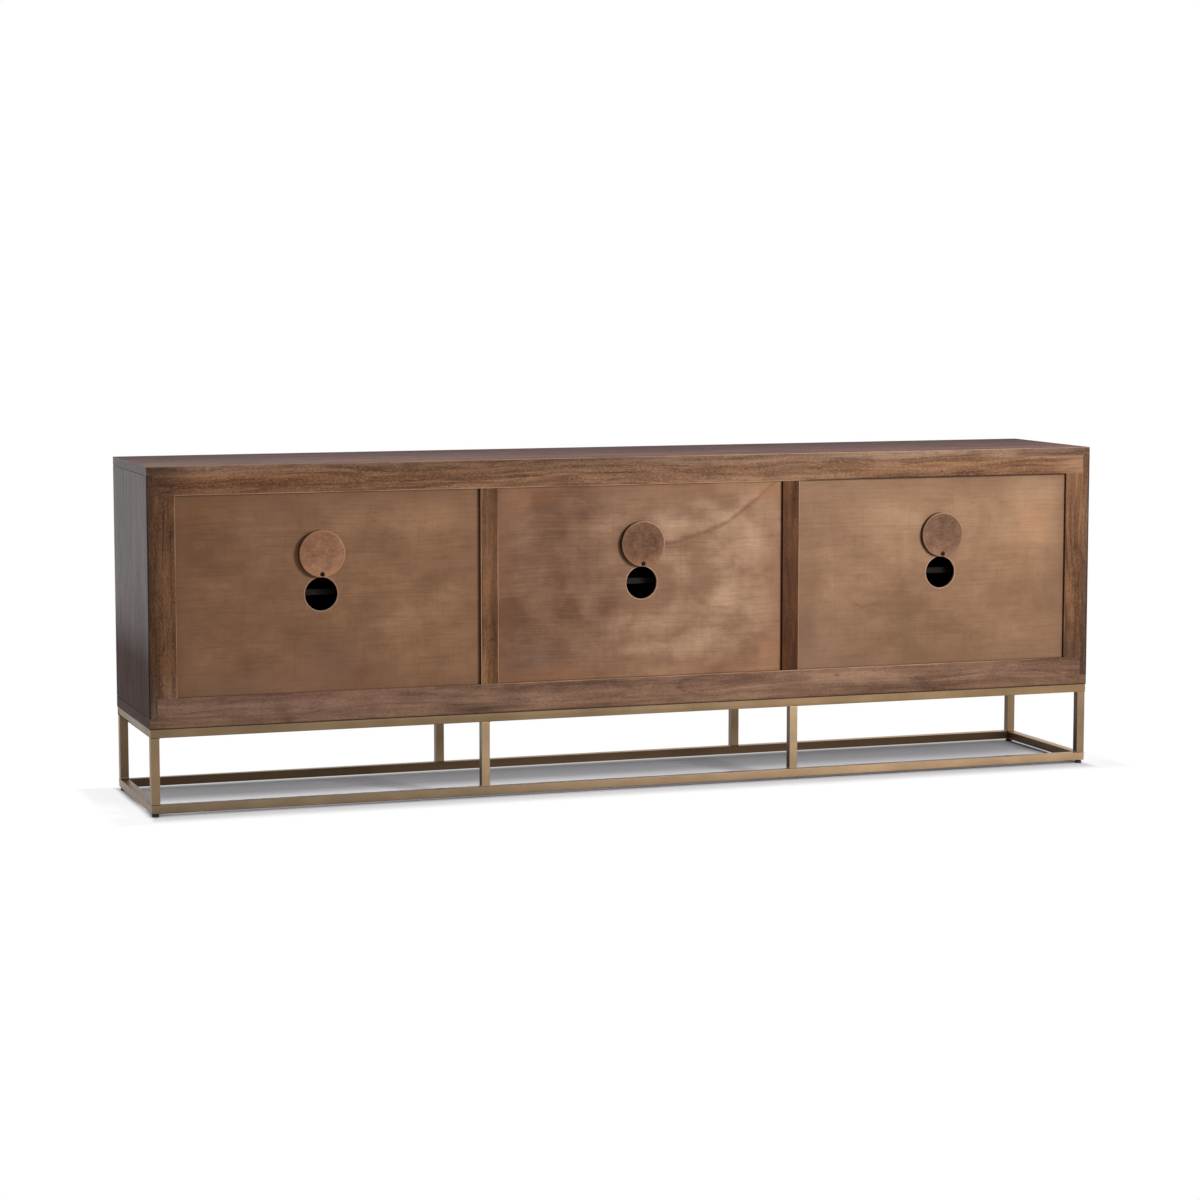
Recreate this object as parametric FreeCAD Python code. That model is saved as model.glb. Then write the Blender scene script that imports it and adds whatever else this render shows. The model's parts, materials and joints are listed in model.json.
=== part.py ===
import FreeCAD, Part
import math
import os

# Long three-bay media cabinet on an open frame of square tube, in millimetres.
# X runs along the length, the doors face -Y, the framed back with its cable holes faces +Y,
# and Z is up from the floor. The origin lies on the floor under the middle of the case.

V = FreeCAD.Vector

# Case
LENGTH = 2388.0
DEPTH = 410.0
CASE_HEIGHT = 600.0
TOP_THICKNESS = 20.0
BOTTOM_THICKNESS = 25.0
SIDE_THICKNESS = 18.0
PARTITION_THICKNESS = 20.0
SEAM_HEIGHT = 1.2
SEAM_DEPTH = 1.5
SEAM_STOP = 25.0

# Back frame and its panels
BACK_THICKNESS = 22.0
BACK_TOP_RAIL = 47.0
BACK_BOTTOM_RAIL = 45.0
BACK_END_STILE = 47.0
BACK_MID_STILE = 43.0
BACK_RECESS = 9.0
BACK_PANEL_THICKNESS = 6.0
TONGUE = 8.0

# Cable holes and their turning covers
HOLE_RADIUS = 39.0
HOLE_DROP = 4.5
PIVOT_MARGIN = 8.0
COVER_RIM = 7.6
COVER_THICKNESS = 13.0
COVER_EDGE = 1.6
PIVOT_RADIUS = 2.0
PIVOT_HEAD_RADIUS = 5.4
PIVOT_HEAD_HEIGHT = 2.4
PIVOT_TIP = 1.0
WASHER_RADIUS = 5.5
WASHER_THICKNESS = 0.6
NUT_FLATS = 7.0
NUT_THICKNESS = 3.2

# Shelves and the pins that carry them
SHELF_THICKNESS = 14.0
SHELF_SIDE_GAP = 1.0
SHELF_FRONT_GAP = 12.0
SHELF_BACK_GAP = 40.0
SHELF_PIN_RADIUS = 2.5
SHELF_PIN_SEAT = 8.0
SHELF_PIN_REACH = 9.0
SHELF_PIN_INSET = 40.0

# Doors
DOOR_THICKNESS = 20.0
DOOR_STILE = 56.0
DOOR_RAIL = 56.0
DOOR_RECESS = 6.0
DOOR_PANEL_THICKNESS = 8.0
MEETING_GAP = 3.0
DOOR_END_GAP = 2.5

# Butt hinges
LEAF_THICKNESS = 1.2
LEAF_CLEARANCE = 0.6
LEAF_DEPTH = 16.0
HINGE_HEIGHT = 60.0
HINGE_INSET = 60.0
KNUCKLE_RADIUS = 3.2
KNUCKLE_COUNT = 5
KNUCKLE_GAP = 0.2
HINGE_PIN_RADIUS = 1.5
HINGE_CAP_RADIUS = 2.6
HINGE_CAP_HEIGHT = 1.5

# Knobs
KNOB_RADIUS = 13.0
KNOB_PROJECTION = 12.0
KNOB_RIM = 2.5
KNOB_CROWN = 1.5
KNOB_FOOT_RADIUS = 8.0
KNOB_FOOT_HEIGHT = 1.5
KNOB_NECK_RADIUS = 5.5
KNOB_SCREW_RADIUS = 2.0
KNOB_SCREW_BITE = 7.0
KNOB_SCREW_HEAD_RADIUS = 4.0
KNOB_SCREW_HEAD_HEIGHT = 2.5

# Magnetic catches under the top board and their strikes on the doors
CATCH_LENGTH = 40.0
CATCH_HEIGHT = 20.0
CATCH_DEPTH = 12.0
STRIKE_RADIUS = 6.0
STRIKE_THICKNESS = 1.0

# Base of square tube
TUBE = 20.0
TUBE_WALL = 1.5
LEG_LENGTH = 155.0
BASE_INSET = 2.0
BASE_SCREW_RADIUS = 2.5
BASE_SCREW_BITE = 15.0
BASE_SCREW_HEAD_RADIUS = 4.5
BASE_SCREW_HEAD_HEIGHT = 3.0
BASE_SCREW_ACCESS = 0.7

# Levelling feet
FOOT_HEIGHT = 8.0
PAD_HEIGHT = 6.0
PAD_RADIUS = 8.5
PAD_EDGE = 0.8
STUD_RADIUS = 4.0
STUD_TIP = 1.0
INSERT_HEIGHT = 10.0
INSERT_SIDE_GAP = 1.5

# Clearances
RUNNING = 0.05
FACE_GAP = 0.1
SWING_GAP = 0.3
SCREW_GAP = 0.2

# Levels above the floor
LOWER_RAIL_Z = FOOT_HEIGHT
LEG_Z = LOWER_RAIL_Z + TUBE
UPPER_RAIL_Z = LEG_Z + LEG_LENGTH
CASE_Z = UPPER_RAIL_Z + TUBE
INSIDE_Z = CASE_Z + BOTTOM_THICKNESS
TOP_Z = CASE_Z + CASE_HEIGHT
CEILING_Z = TOP_Z - TOP_THICKNESS

# Planes across the depth
FRONT_Y = -DEPTH / 2
BACK_Y = DEPTH / 2
DOOR_BACK_Y = FRONT_Y + DOOR_THICKNESS
FRAME_Y = BACK_Y - BACK_THICKNESS
PANEL_BACK_Y = BACK_Y - BACK_RECESS
PANEL_Y = PANEL_BACK_Y - BACK_PANEL_THICKNESS

# Places along the length
END_X = LENGTH / 2
INSIDE_X = END_X - SIDE_THICKNESS
LEG_X = END_X - BASE_INSET - TUBE / 2
MID_LEG_X = LEG_X / 3
LEG_Y = BACK_Y - BASE_INSET - TUBE / 2
BAYS = {
    "left": (-INSIDE_X, -MID_LEG_X - PARTITION_THICKNESS / 2),
    "middle": (-MID_LEG_X + PARTITION_THICKNESS / 2, MID_LEG_X - PARTITION_THICKNESS / 2),
    "right": (MID_LEG_X + PARTITION_THICKNESS / 2, INSIDE_X),
}

# Openings of the back frame
BACK_LOW_Z = INSIDE_Z + BACK_BOTTOM_RAIL
BACK_HIGH_Z = CEILING_Z - BACK_TOP_RAIL
BACK_END_X = INSIDE_X - BACK_END_STILE
BACK_WIDTH = (2 * BACK_END_X - 2 * BACK_MID_STILE) / 3
BACK_STEP = BACK_WIDTH + BACK_MID_STILE

# Cable holes, midway between legs: a closed cover is concentric with its hole, an open one stands straight up
HOLE_X = {"left": -(LEG_X + MID_LEG_X) / 2, "middle": 0.0, "right": (LEG_X + MID_LEG_X) / 2}
HOLE_Z = (BACK_LOW_Z + BACK_HIGH_Z) / 2 - HOLE_DROP
PIVOT_OFFSET = HOLE_RADIUS + PIVOT_MARGIN
PIVOT_Z = HOLE_Z + PIVOT_OFFSET
COVER_RADIUS = PIVOT_OFFSET + COVER_RIM
COVER_Y = PANEL_BACK_Y + WASHER_THICKNESS + FACE_GAP
PIVOT_HEAD_Y = COVER_Y + COVER_THICKNESS + FACE_GAP

# Hinge axis: in the middle of the gap beside the door and just clear of its face
HINGE_GAP = 2 * LEAF_THICKNESS + LEAF_CLEARANCE
HINGE_Y = FRONT_Y - KNUCKLE_RADIUS - SWING_GAP
DOOR_Z = INSIDE_Z + DOOR_END_GAP
DOOR_TOP_Z = CEILING_Z - DOOR_END_GAP


def block(x0, x1, y0, y1, z0, z1):
    """Box between two planes on each axis, given in either order."""
    low = V(min(x0, x1), min(y0, y1), min(z0, z1))
    return Part.makeBox(abs(x1 - x0), abs(y1 - y0), abs(z1 - z0), low)


def rod(radius, start, end):
    """Round bar between two points."""
    return Part.makeCylinder(radius, (end - start).Length, start, end - start)


def turned(edges, place, direction):
    """Solid turned from a half profile drawn as (radius, height), set up along a direction."""
    face = Part.Face(Part.Wire(Part.__sortEdges__(edges)))
    solid = face.revolve(V(0, 0, 0), V(0, 0, 1), 360)
    solid.Placement = FreeCAD.Placement(place, FreeCAD.Rotation(V(0, 0, 1), direction))
    return solid


def outline(*points):
    """Straight edges of a turned profile through (radius, height) points, left open."""
    corners = [V(radius, 0, height) for radius, height in points]
    return [Part.makeLine(a, b) for a, b in zip(corners, corners[1:])]


def joined(*solids):
    """One solid from pieces that are made in one."""
    return solids[0].fuse(list(solids[1:])).removeSplitter().Solids[0]


def save(node, *solids):
    """Write a node: one solid, or a group of separate solids."""
    shape = solids[0] if len(solids) == 1 else Part.makeCompound(list(solids))
    for solid in shape.Solids:
        if not solid.isValid():
            raise ValueError(node + " has a solid that isn't valid")
    shape.exportStep("parts/" + node + ".step")


def shelf_pin_places(x0, x1):
    """The four pins of one bay: the wall's face, the way into the bay, and the depth."""
    front = DOOR_BACK_Y + SHELF_FRONT_GAP + SHELF_PIN_INSET
    back = PANEL_Y - SHELF_BACK_GAP - SHELF_PIN_INSET
    return [(x, way, y) for x, way in ((x0, 1), (x1, -1)) for y in (front, back)]


def shelf_pin(x, way, y, radius):
    """A shelf pin, or with a larger radius the seat for it in the wall."""
    z = HOLE_Z - SHELF_THICKNESS / 2 - SHELF_PIN_RADIUS
    return rod(radius, V(x - way * SHELF_PIN_SEAT, y, z), V(x + way * SHELF_PIN_REACH, y, z))


def base_screw_places():
    """Screws up out of the upper rails, halfway between the legs of each bay."""
    outer = (LEG_X + MID_LEG_X) / 2
    inner = MID_LEG_X / 2
    return [(x, y) for x in (-outer, -inner, inner, outer) for y in (-LEG_Y, LEG_Y)]


def make_case():
    """Top, bottom, ends and partitions."""
    save("top_board", block(-END_X, END_X, FRONT_Y, BACK_Y, CEILING_Z, TOP_Z))
    bottom = block(-END_X, END_X, FRONT_Y, BACK_Y, CASE_Z, INSIDE_Z)
    for x, y in base_screw_places():
        tip = V(x, y, CASE_Z + BASE_SCREW_BITE)
        bottom = bottom.cut(rod(BASE_SCREW_RADIUS + RUNNING, V(x, y, CASE_Z), tip))
    save("bottom_board", bottom)

    seats = []
    for x0, x1 in BAYS.values():
        for x, way, y in shelf_pin_places(x0, x1):
            seats.append(shelf_pin(x, way, y, SHELF_PIN_RADIUS + RUNNING))
    for name, side in (("left_side", -1), ("right_side", 1)):
        board = block(side * INSIDE_X, side * END_X, FRONT_Y, BACK_Y, INSIDE_Z, CEILING_Z)
        groove_x = side * (END_X - SEAM_DEPTH)
        for low in (INSIDE_Z, CEILING_Z - SEAM_HEIGHT):
            seam = block(groove_x, side * END_X, FRONT_Y, BACK_Y - SEAM_STOP, low, low + SEAM_HEIGHT)
            board = board.cut(seam)
        save(name, board.cut(seats))
    half = PARTITION_THICKNESS / 2
    for name, side in (("left_partition", -1), ("right_partition", 1)):
        middle = side * MID_LEG_X
        board = block(middle - half, middle + half, FRONT_Y, FRAME_Y, INSIDE_Z, CEILING_Z)
        save(name, board.cut(seats))


def make_back():
    """Frame of rails and stiles, and the holed panels let into grooves in it."""
    panels = []
    for index, bay in enumerate(BAYS):
        x0 = -BACK_END_X + index * BACK_STEP
        x1 = x0 + BACK_WIDTH
        panel = block(
            x0 - TONGUE, x1 + TONGUE, PANEL_Y, PANEL_BACK_Y, BACK_LOW_Z - TONGUE, BACK_HIGH_Z + TONGUE
        )
        panels.append(panel)
        x = HOLE_X[bay]
        hole = rod(HOLE_RADIUS, V(x, PANEL_Y, HOLE_Z), V(x, PANEL_BACK_Y, HOLE_Z))
        pivot = rod(PIVOT_RADIUS + RUNNING, V(x, PANEL_Y, PIVOT_Z), V(x, PANEL_BACK_Y, PIVOT_Z))
        save(bay + "_back_panel", panel.cut([hole, pivot]))

    top = block(-INSIDE_X, INSIDE_X, FRAME_Y, BACK_Y, BACK_HIGH_Z, CEILING_Z)
    bottom = block(-INSIDE_X, INSIDE_X, FRAME_Y, BACK_Y, INSIDE_Z, BACK_LOW_Z)
    save("back_top_rail", top.cut(panels))
    save("back_bottom_rail", bottom.cut(panels))
    ends = []
    middles = []
    for side in (-1, 1):
        end = block(side * BACK_END_X, side * INSIDE_X, FRAME_Y, BACK_Y, BACK_LOW_Z, BACK_HIGH_Z)
        ends.append(end.cut(panels))
        inner_x = side * BACK_WIDTH / 2
        outer_x = inner_x + side * BACK_MID_STILE
        middle = block(inner_x, outer_x, FRAME_Y, BACK_Y, BACK_LOW_Z, BACK_HIGH_Z)
        middles.append(middle.cut(panels))
    save("back_end_stiles", *ends)
    save("back_mid_stiles", *middles)


def make_shelves():
    """One shelf in each bay, short of the back so that cables pass behind it."""
    pins = []
    for bay, (x0, x1) in BAYS.items():
        shelf = block(
            x0 + SHELF_SIDE_GAP,
            x1 - SHELF_SIDE_GAP,
            DOOR_BACK_Y + SHELF_FRONT_GAP,
            PANEL_Y - SHELF_BACK_GAP,
            HOLE_Z - SHELF_THICKNESS / 2,
            HOLE_Z + SHELF_THICKNESS / 2,
        )
        save(bay + "_shelf", shelf)
        for x, way, y in shelf_pin_places(x0, x1):
            pins.append(shelf_pin(x, way, y, SHELF_PIN_RADIUS))
    save("shelf_pins", *pins)


def make_cover(x):
    """Round cover on its pivot, turned up clear of the hole."""
    profile = outline(
        (0, 0),
        (COVER_RADIUS, 0),
        (COVER_RADIUS, COVER_THICKNESS - COVER_EDGE),
        (COVER_RADIUS - COVER_EDGE, COVER_THICKNESS),
        (0, COVER_THICKNESS),
        (0, 0),
    )
    disc = turned(profile, V(x, COVER_Y, PIVOT_Z + PIVOT_OFFSET), V(0, 1, 0))
    pivot = rod(PIVOT_RADIUS + RUNNING, V(x, COVER_Y, PIVOT_Z), V(x, PIVOT_HEAD_Y, PIVOT_Z))
    return disc.cut(pivot)


def hexagon_nut(x):
    """Nut on the pivot screw, against the inner face of the panel."""
    corner = NUT_FLATS / math.sqrt(3)
    ring = [math.radians(60 * step) for step in range(7)]
    points = [V(x + corner * math.cos(a), PANEL_Y, PIVOT_Z + corner * math.sin(a)) for a in ring]
    nut = Part.Face(Part.makePolygon(points)).extrude(V(0, -NUT_THICKNESS, 0))
    inner = V(x, PANEL_Y - NUT_THICKNESS, PIVOT_Z)
    return nut.cut(rod(PIVOT_RADIUS + RUNNING, inner, V(x, PANEL_Y, PIVOT_Z)))


def make_covers():
    """Cable covers, each on a screw with a washer behind it and a nut inside the case."""
    screws = []
    washers = []
    nuts = []
    for bay, x in HOLE_X.items():
        save(bay + "_cable_cover", make_cover(x))
        tip = V(x, PANEL_Y - NUT_THICKNESS - PIVOT_TIP, PIVOT_Z)
        neck = V(x, PIVOT_HEAD_Y, PIVOT_Z)
        crown = V(x, PIVOT_HEAD_Y + PIVOT_HEAD_HEIGHT, PIVOT_Z)
        screws.append(joined(rod(PIVOT_RADIUS, tip, neck), rod(PIVOT_HEAD_RADIUS, neck, crown)))
        seat = V(x, PANEL_BACK_Y, PIVOT_Z)
        face = V(x, PANEL_BACK_Y + WASHER_THICKNESS, PIVOT_Z)
        washers.append(rod(WASHER_RADIUS, seat, face).cut(rod(PIVOT_RADIUS + RUNNING, seat, face)))
        nuts.append(hexagon_nut(x))
    save("cover_screws", *screws)
    save("cover_washers", *washers)
    save("cover_nuts", *nuts)


def ring_plan(inset, z):
    """Corners of the base's plan at a level, drawn in from the outside of the tube."""
    x = LEG_X + TUBE / 2 - inset
    y = LEG_Y + TUBE / 2 - inset
    return [V(-x, -y, z), V(x, -y, z), V(x, y, z), V(-x, y, z)]


def mitred_bar(side, inset, z, height):
    """One side of the base's plan between two insets on each side of the tube, cut at 45 degrees."""
    outer = ring_plan(inset, z)
    inner = ring_plan(TUBE - inset, z)
    after = (side + 1) % 4
    corners = [outer[side], outer[after], inner[after], inner[side], outer[side]]
    return Part.Face(Part.makePolygon(corners)).extrude(V(0, 0, height))


def mitred_rails(z):
    """Ring of four tubes that meet at mitres."""
    rails = []
    for side in range(4):
        hollow = mitred_bar(side, TUBE_WALL, z + TUBE_WALL, TUBE - 2 * TUBE_WALL)
        rails.append(mitred_bar(side, 0, z, TUBE).cut(hollow))
    return rails


def leg(x, y):
    """Upright tube between the two rings."""
    half = TUBE / 2
    bore = half - TUBE_WALL
    outside = block(x - half, x + half, y - half, y + half, LEG_Z, UPPER_RAIL_Z)
    return outside.cut(block(x - bore, x + bore, y - bore, y + bore, LEG_Z, UPPER_RAIL_Z))


def make_base():
    """Two rings of tube, the legs between them, and the screws into the case.

    The screws' heads lie inside the upper rails, over holes in the lower wall that let a driver in."""
    bores = []
    screws = []
    for x, y in base_screw_places():
        seat = V(x, y, CASE_Z - TUBE_WALL)
        bores.append(rod(BASE_SCREW_RADIUS + SCREW_GAP, seat, V(x, y, CASE_Z)))
        under = V(x, y, UPPER_RAIL_Z)
        bores.append(rod(BASE_SCREW_HEAD_RADIUS + BASE_SCREW_ACCESS, under, under + V(0, 0, TUBE_WALL)))
        shank = rod(BASE_SCREW_RADIUS, seat, V(x, y, CASE_Z + BASE_SCREW_BITE))
        head = rod(BASE_SCREW_HEAD_RADIUS, seat - V(0, 0, BASE_SCREW_HEAD_HEIGHT), seat)
        screws.append(joined(shank, head))
    save("base_upper_rails", *[rail.cut(bores) for rail in mitred_rails(UPPER_RAIL_Z)])
    save("base_screws", *screws)

    corners = [(x, y) for y in (-LEG_Y, LEG_Y) for x in (-LEG_X, LEG_X)]
    wall_top = LOWER_RAIL_Z + TUBE_WALL
    stud_holes = []
    inserts = []
    insert_radius = TUBE / 2 - TUBE_WALL - INSERT_SIDE_GAP
    for x, y in corners:
        stud_holes.append(rod(STUD_RADIUS + SWING_GAP, V(x, y, LOWER_RAIL_Z), V(x, y, wall_top)))
        low = V(x, y, wall_top)
        high = V(x, y, wall_top + INSERT_HEIGHT)
        inserts.append(rod(insert_radius, low, high).cut(rod(STUD_RADIUS + RUNNING, low, high)))
    save("base_lower_rails", *[rail.cut(stud_holes) for rail in mitred_rails(LOWER_RAIL_Z)])
    save("foot_inserts", *inserts)

    save("base_corner_legs", *[leg(x, y) for x, y in corners])
    save("base_middle_legs", *[leg(x, y) for y in (-LEG_Y, LEG_Y) for x in (-MID_LEG_X, MID_LEG_X)])

    names = ("front_left_foot", "front_right_foot", "back_left_foot", "back_right_foot")
    for name, (x, y) in zip(names, corners):
        save(name, make_foot(x, y))


def make_foot(x, y):
    """Levelling foot: a round pad on a stud that turns in the insert."""
    stud_top = LOWER_RAIL_Z + TUBE_WALL + INSERT_HEIGHT + STUD_TIP
    profile = outline(
        (0, 0),
        (PAD_RADIUS - PAD_EDGE, 0),
        (PAD_RADIUS, PAD_EDGE),
        (PAD_RADIUS, PAD_HEIGHT - PAD_EDGE),
        (PAD_RADIUS - PAD_EDGE, PAD_HEIGHT),
        (STUD_RADIUS, PAD_HEIGHT),
        (STUD_RADIUS, stud_top),
        (0, stud_top),
        (0, 0),
    )
    return turned(profile, V(x, y, 0), V(0, 0, 1))


def hinge_levels():
    """Lower end of each hinge on a door."""
    return (DOOR_Z + HINGE_INSET, DOOR_TOP_Z - HINGE_INSET - HINGE_HEIGHT)


def hinge_leaf(wall_x, way, near, z, first):
    """Hinge leaf beside a wall: a flat plate and every other knuckle, from the first one up."""
    axis_x = wall_x + way * HINGE_GAP / 2
    face_x = wall_x + way * near
    back_x = face_x + way * LEAF_THICKNESS
    pieces = [block(face_x, back_x, FRONT_Y, FRONT_Y + LEAF_DEPTH, z, z + HINGE_HEIGHT)]
    pitch = (HINGE_HEIGHT + KNUCKLE_GAP) / KNUCKLE_COUNT
    for index in range(first, KNUCKLE_COUNT, 2):
        low = z + index * pitch
        high = low + pitch - KNUCKLE_GAP
        pieces.append(block(face_x, back_x, HINGE_Y, FRONT_Y + LEAF_DEPTH / 2, low, high))
        pieces.append(rod(KNUCKLE_RADIUS, V(axis_x, HINGE_Y, low), V(axis_x, HINGE_Y, high)))
    bore = rod(HINGE_PIN_RADIUS + RUNNING, V(axis_x, HINGE_Y, z), V(axis_x, HINGE_Y, z + HINGE_HEIGHT))
    return joined(*pieces).cut(bore).Solids[0]


def hinge_pin(wall_x, way, z):
    """Pin through the knuckles with a cap at each end."""
    axis = V(wall_x + way * HINGE_GAP / 2, HINGE_Y, z)
    top = axis + V(0, 0, HINGE_HEIGHT)
    cap = V(0, 0, HINGE_CAP_HEIGHT)
    return joined(
        rod(HINGE_PIN_RADIUS, axis, top),
        rod(HINGE_CAP_RADIUS, axis - cap, axis),
        rod(HINGE_CAP_RADIUS, top, top + cap),
    )


def make_knob(x, z):
    """Low round knob with a domed face, turned about the line through the door."""
    under = KNOB_PROJECTION - KNOB_CROWN - KNOB_RIM
    blank = KNOB_PROJECTION + KNOB_CROWN
    profile = outline(
        (0, 0),
        (KNOB_FOOT_RADIUS, 0),
        (KNOB_FOOT_RADIUS, KNOB_FOOT_HEIGHT),
        (KNOB_NECK_RADIUS, KNOB_FOOT_HEIGHT),
        (KNOB_NECK_RADIUS, under - KNOB_RIM),
        (KNOB_RADIUS, under),
        (KNOB_RADIUS, blank),
        (0, blank),
        (0, 0),
    )
    dome_radius = (KNOB_RADIUS**2 + KNOB_CROWN**2) / (2 * KNOB_CROWN)
    dome = Part.makeSphere(dome_radius, V(x, FRONT_Y - KNOB_PROJECTION + dome_radius, z))
    knob = turned(profile, V(x, FRONT_Y, z), V(0, -1, 0)).common(dome)
    tip = V(x, FRONT_Y - KNOB_SCREW_BITE, z)
    return knob.cut(rod(KNOB_SCREW_RADIUS + RUNNING, tip, V(x, FRONT_Y, z))).Solids[0]


def knob_screw(x, z):
    """Screw through the stile into the knob, with its head inside."""
    tip = V(x, FRONT_Y - KNOB_SCREW_BITE, z)
    seat = V(x, DOOR_BACK_Y, z)
    head = seat + V(0, KNOB_SCREW_HEAD_HEIGHT, 0)
    return joined(rod(KNOB_SCREW_RADIUS, tip, seat), rod(KNOB_SCREW_HEAD_RADIUS, seat, head))


def make_door(name, wall_x, way, width):
    """Framed door hung on one wall of its bay, with its knob and its half of the hinges."""
    hinge_x = wall_x + way * HINGE_GAP
    free_x = hinge_x + way * width
    inner_hinge_x = hinge_x + way * DOOR_STILE
    inner_free_x = free_x - way * DOOR_STILE
    rail_z = DOOR_Z + DOOR_RAIL
    rail_top_z = DOOR_TOP_Z - DOOR_RAIL
    panel_y = FRONT_Y + DOOR_RECESS
    panel = block(
        inner_hinge_x - way * TONGUE,
        inner_free_x + way * TONGUE,
        panel_y,
        panel_y + DOOR_PANEL_THICKNESS,
        rail_z - TONGUE,
        rail_top_z + TONGUE,
    )
    knob_x = free_x - way * DOOR_STILE / 2
    knob_z = (DOOR_Z + DOOR_TOP_Z) / 2
    screw_hole = rod(
        KNOB_SCREW_RADIUS + SCREW_GAP, V(knob_x, FRONT_Y, knob_z), V(knob_x, DOOR_BACK_Y, knob_z)
    )
    frame = [
        block(hinge_x, inner_hinge_x, FRONT_Y, DOOR_BACK_Y, DOOR_Z, DOOR_TOP_Z),
        block(inner_free_x, free_x, FRONT_Y, DOOR_BACK_Y, DOOR_Z, DOOR_TOP_Z).cut(screw_hole),
        block(inner_hinge_x, inner_free_x, FRONT_Y, DOOR_BACK_Y, DOOR_Z, rail_z),
        block(inner_hinge_x, inner_free_x, FRONT_Y, DOOR_BACK_Y, rail_top_z, DOOR_TOP_Z),
    ]
    save(name + "_frame", *[bar.cut(panel) for bar in frame])
    save(name + "_panel", panel)
    save(name + "_knob", make_knob(knob_x, knob_z), knob_screw(knob_x, knob_z))

    leaf_near = HINGE_GAP - LEAF_THICKNESS
    leaves = [hinge_leaf(wall_x, way, leaf_near, z, 1) for z in hinge_levels()]
    strike_z = CEILING_Z - CATCH_HEIGHT / 2
    strike_end = V(knob_x, DOOR_BACK_Y + STRIKE_THICKNESS, strike_z)
    strike = rod(STRIKE_RADIUS, V(knob_x, DOOR_BACK_Y, strike_z), strike_end)
    save(name + "_hardware", *leaves, strike)
    return knob_x


def make_catch(x):
    """Catch under the top board, just behind the strike of a closed door."""
    face_y = DOOR_BACK_Y + STRIKE_THICKNESS + SWING_GAP
    half = CATCH_LENGTH / 2
    return block(x - half, x + half, face_y, face_y + CATCH_DEPTH, CEILING_Z - CATCH_HEIGHT, CEILING_Z)


def make_doors():
    """A pair of doors in each bay, and what the case holds for them."""
    leaves = []
    pins = []
    catches = []
    for bay, (x0, x1) in BAYS.items():
        width = (x1 - x0 - 2 * HINGE_GAP - MEETING_GAP) / 2
        for side, wall_x, way in (("left", x0, 1), ("right", x1, -1)):
            strike_x = make_door(bay + "_bay_" + side + "_door", wall_x, way, width)
            catches.append(make_catch(strike_x))
            for z in hinge_levels():
                leaves.append(hinge_leaf(wall_x, way, 0, z, 0))
                pins.append(hinge_pin(wall_x, way, z))
    save("case_hinge_leaves", *leaves)
    save("hinge_pins", *pins)
    save("door_catches", *catches)


os.makedirs("parts", exist_ok=True)
make_case()
make_back()
make_shelves()
make_covers()
make_base()
make_doors()
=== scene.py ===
import json
import math
import bpy
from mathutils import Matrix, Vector

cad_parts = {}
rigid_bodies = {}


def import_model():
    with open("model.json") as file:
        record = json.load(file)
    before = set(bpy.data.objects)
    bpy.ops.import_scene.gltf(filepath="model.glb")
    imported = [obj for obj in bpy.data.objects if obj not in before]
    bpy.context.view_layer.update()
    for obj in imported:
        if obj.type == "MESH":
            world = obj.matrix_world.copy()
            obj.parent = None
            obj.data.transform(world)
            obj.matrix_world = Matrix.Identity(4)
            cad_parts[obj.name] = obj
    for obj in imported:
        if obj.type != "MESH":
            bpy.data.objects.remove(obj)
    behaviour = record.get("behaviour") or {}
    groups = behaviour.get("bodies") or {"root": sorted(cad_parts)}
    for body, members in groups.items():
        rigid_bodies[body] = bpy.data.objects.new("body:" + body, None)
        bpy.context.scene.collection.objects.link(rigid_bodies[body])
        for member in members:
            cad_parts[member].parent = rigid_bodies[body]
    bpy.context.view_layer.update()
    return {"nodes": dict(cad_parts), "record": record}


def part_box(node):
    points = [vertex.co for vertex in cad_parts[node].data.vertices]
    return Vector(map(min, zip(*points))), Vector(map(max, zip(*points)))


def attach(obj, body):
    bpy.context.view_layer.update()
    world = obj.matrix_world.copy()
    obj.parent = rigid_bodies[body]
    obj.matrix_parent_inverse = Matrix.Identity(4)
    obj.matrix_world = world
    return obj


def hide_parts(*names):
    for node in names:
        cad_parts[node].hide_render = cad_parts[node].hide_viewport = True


# The factory scene's own objects go before the frame is loaded
for leftover in list(bpy.data.objects):
    bpy.data.objects.remove(leftover)

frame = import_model()


def linear(red, green, blue):
    """Scene colour from the usual 0 to 255 display values."""
    parts = []
    for value in (red, green, blue):
        level = value / 255.0
        parts.append(level / 12.92 if level <= 0.04045 else ((level + 0.055) / 1.055) ** 2.4)
    return (*parts, 1.0)


def tones(*colours):
    """Row of scene colours from display values."""
    return [linear(*colour) for colour in colours]


# Names that repeat
BAYS = ("left", "middle", "right")
SIDES = ("left", "right")
DOORS = [bay + "_bay_" + side + "_door" for bay in BAYS for side in SIDES]

# Camera, solved on the photograph's straight edges
CAMERA_PLACE = (2.5051, 7.0623, 1.2445)
CAMERA_WAY = (-0.3280, -0.9386, -0.1070)
CAMERA_LENS = 91.98
CAMERA_SENSOR = 36.0
CAMERA_END = 200.0

# Light
WHITE = (1.0, 1.0, 1.0, 1.0)
SKY = (0.97, 0.98, 1.0, 1.0)
SKY_LIGHT = 0.31
KEY = {"place": (-1.16, 2.6, 1.2), "target": (0.0, 0.2, 0.5), "size": (0.8, 0.8), "power": 66.0}
FRONT = {"place": (0.2, 4.8, 2.6), "target": (0.0, 0.2, 0.5), "size": (4.0, 1.8), "power": 16.0}
DOOR_FILL = {"place": (0.0, -4.6, 0.75), "target": (0.0, -0.2, 0.45), "size": (3.2, 1.2), "power": 90.0}

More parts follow.
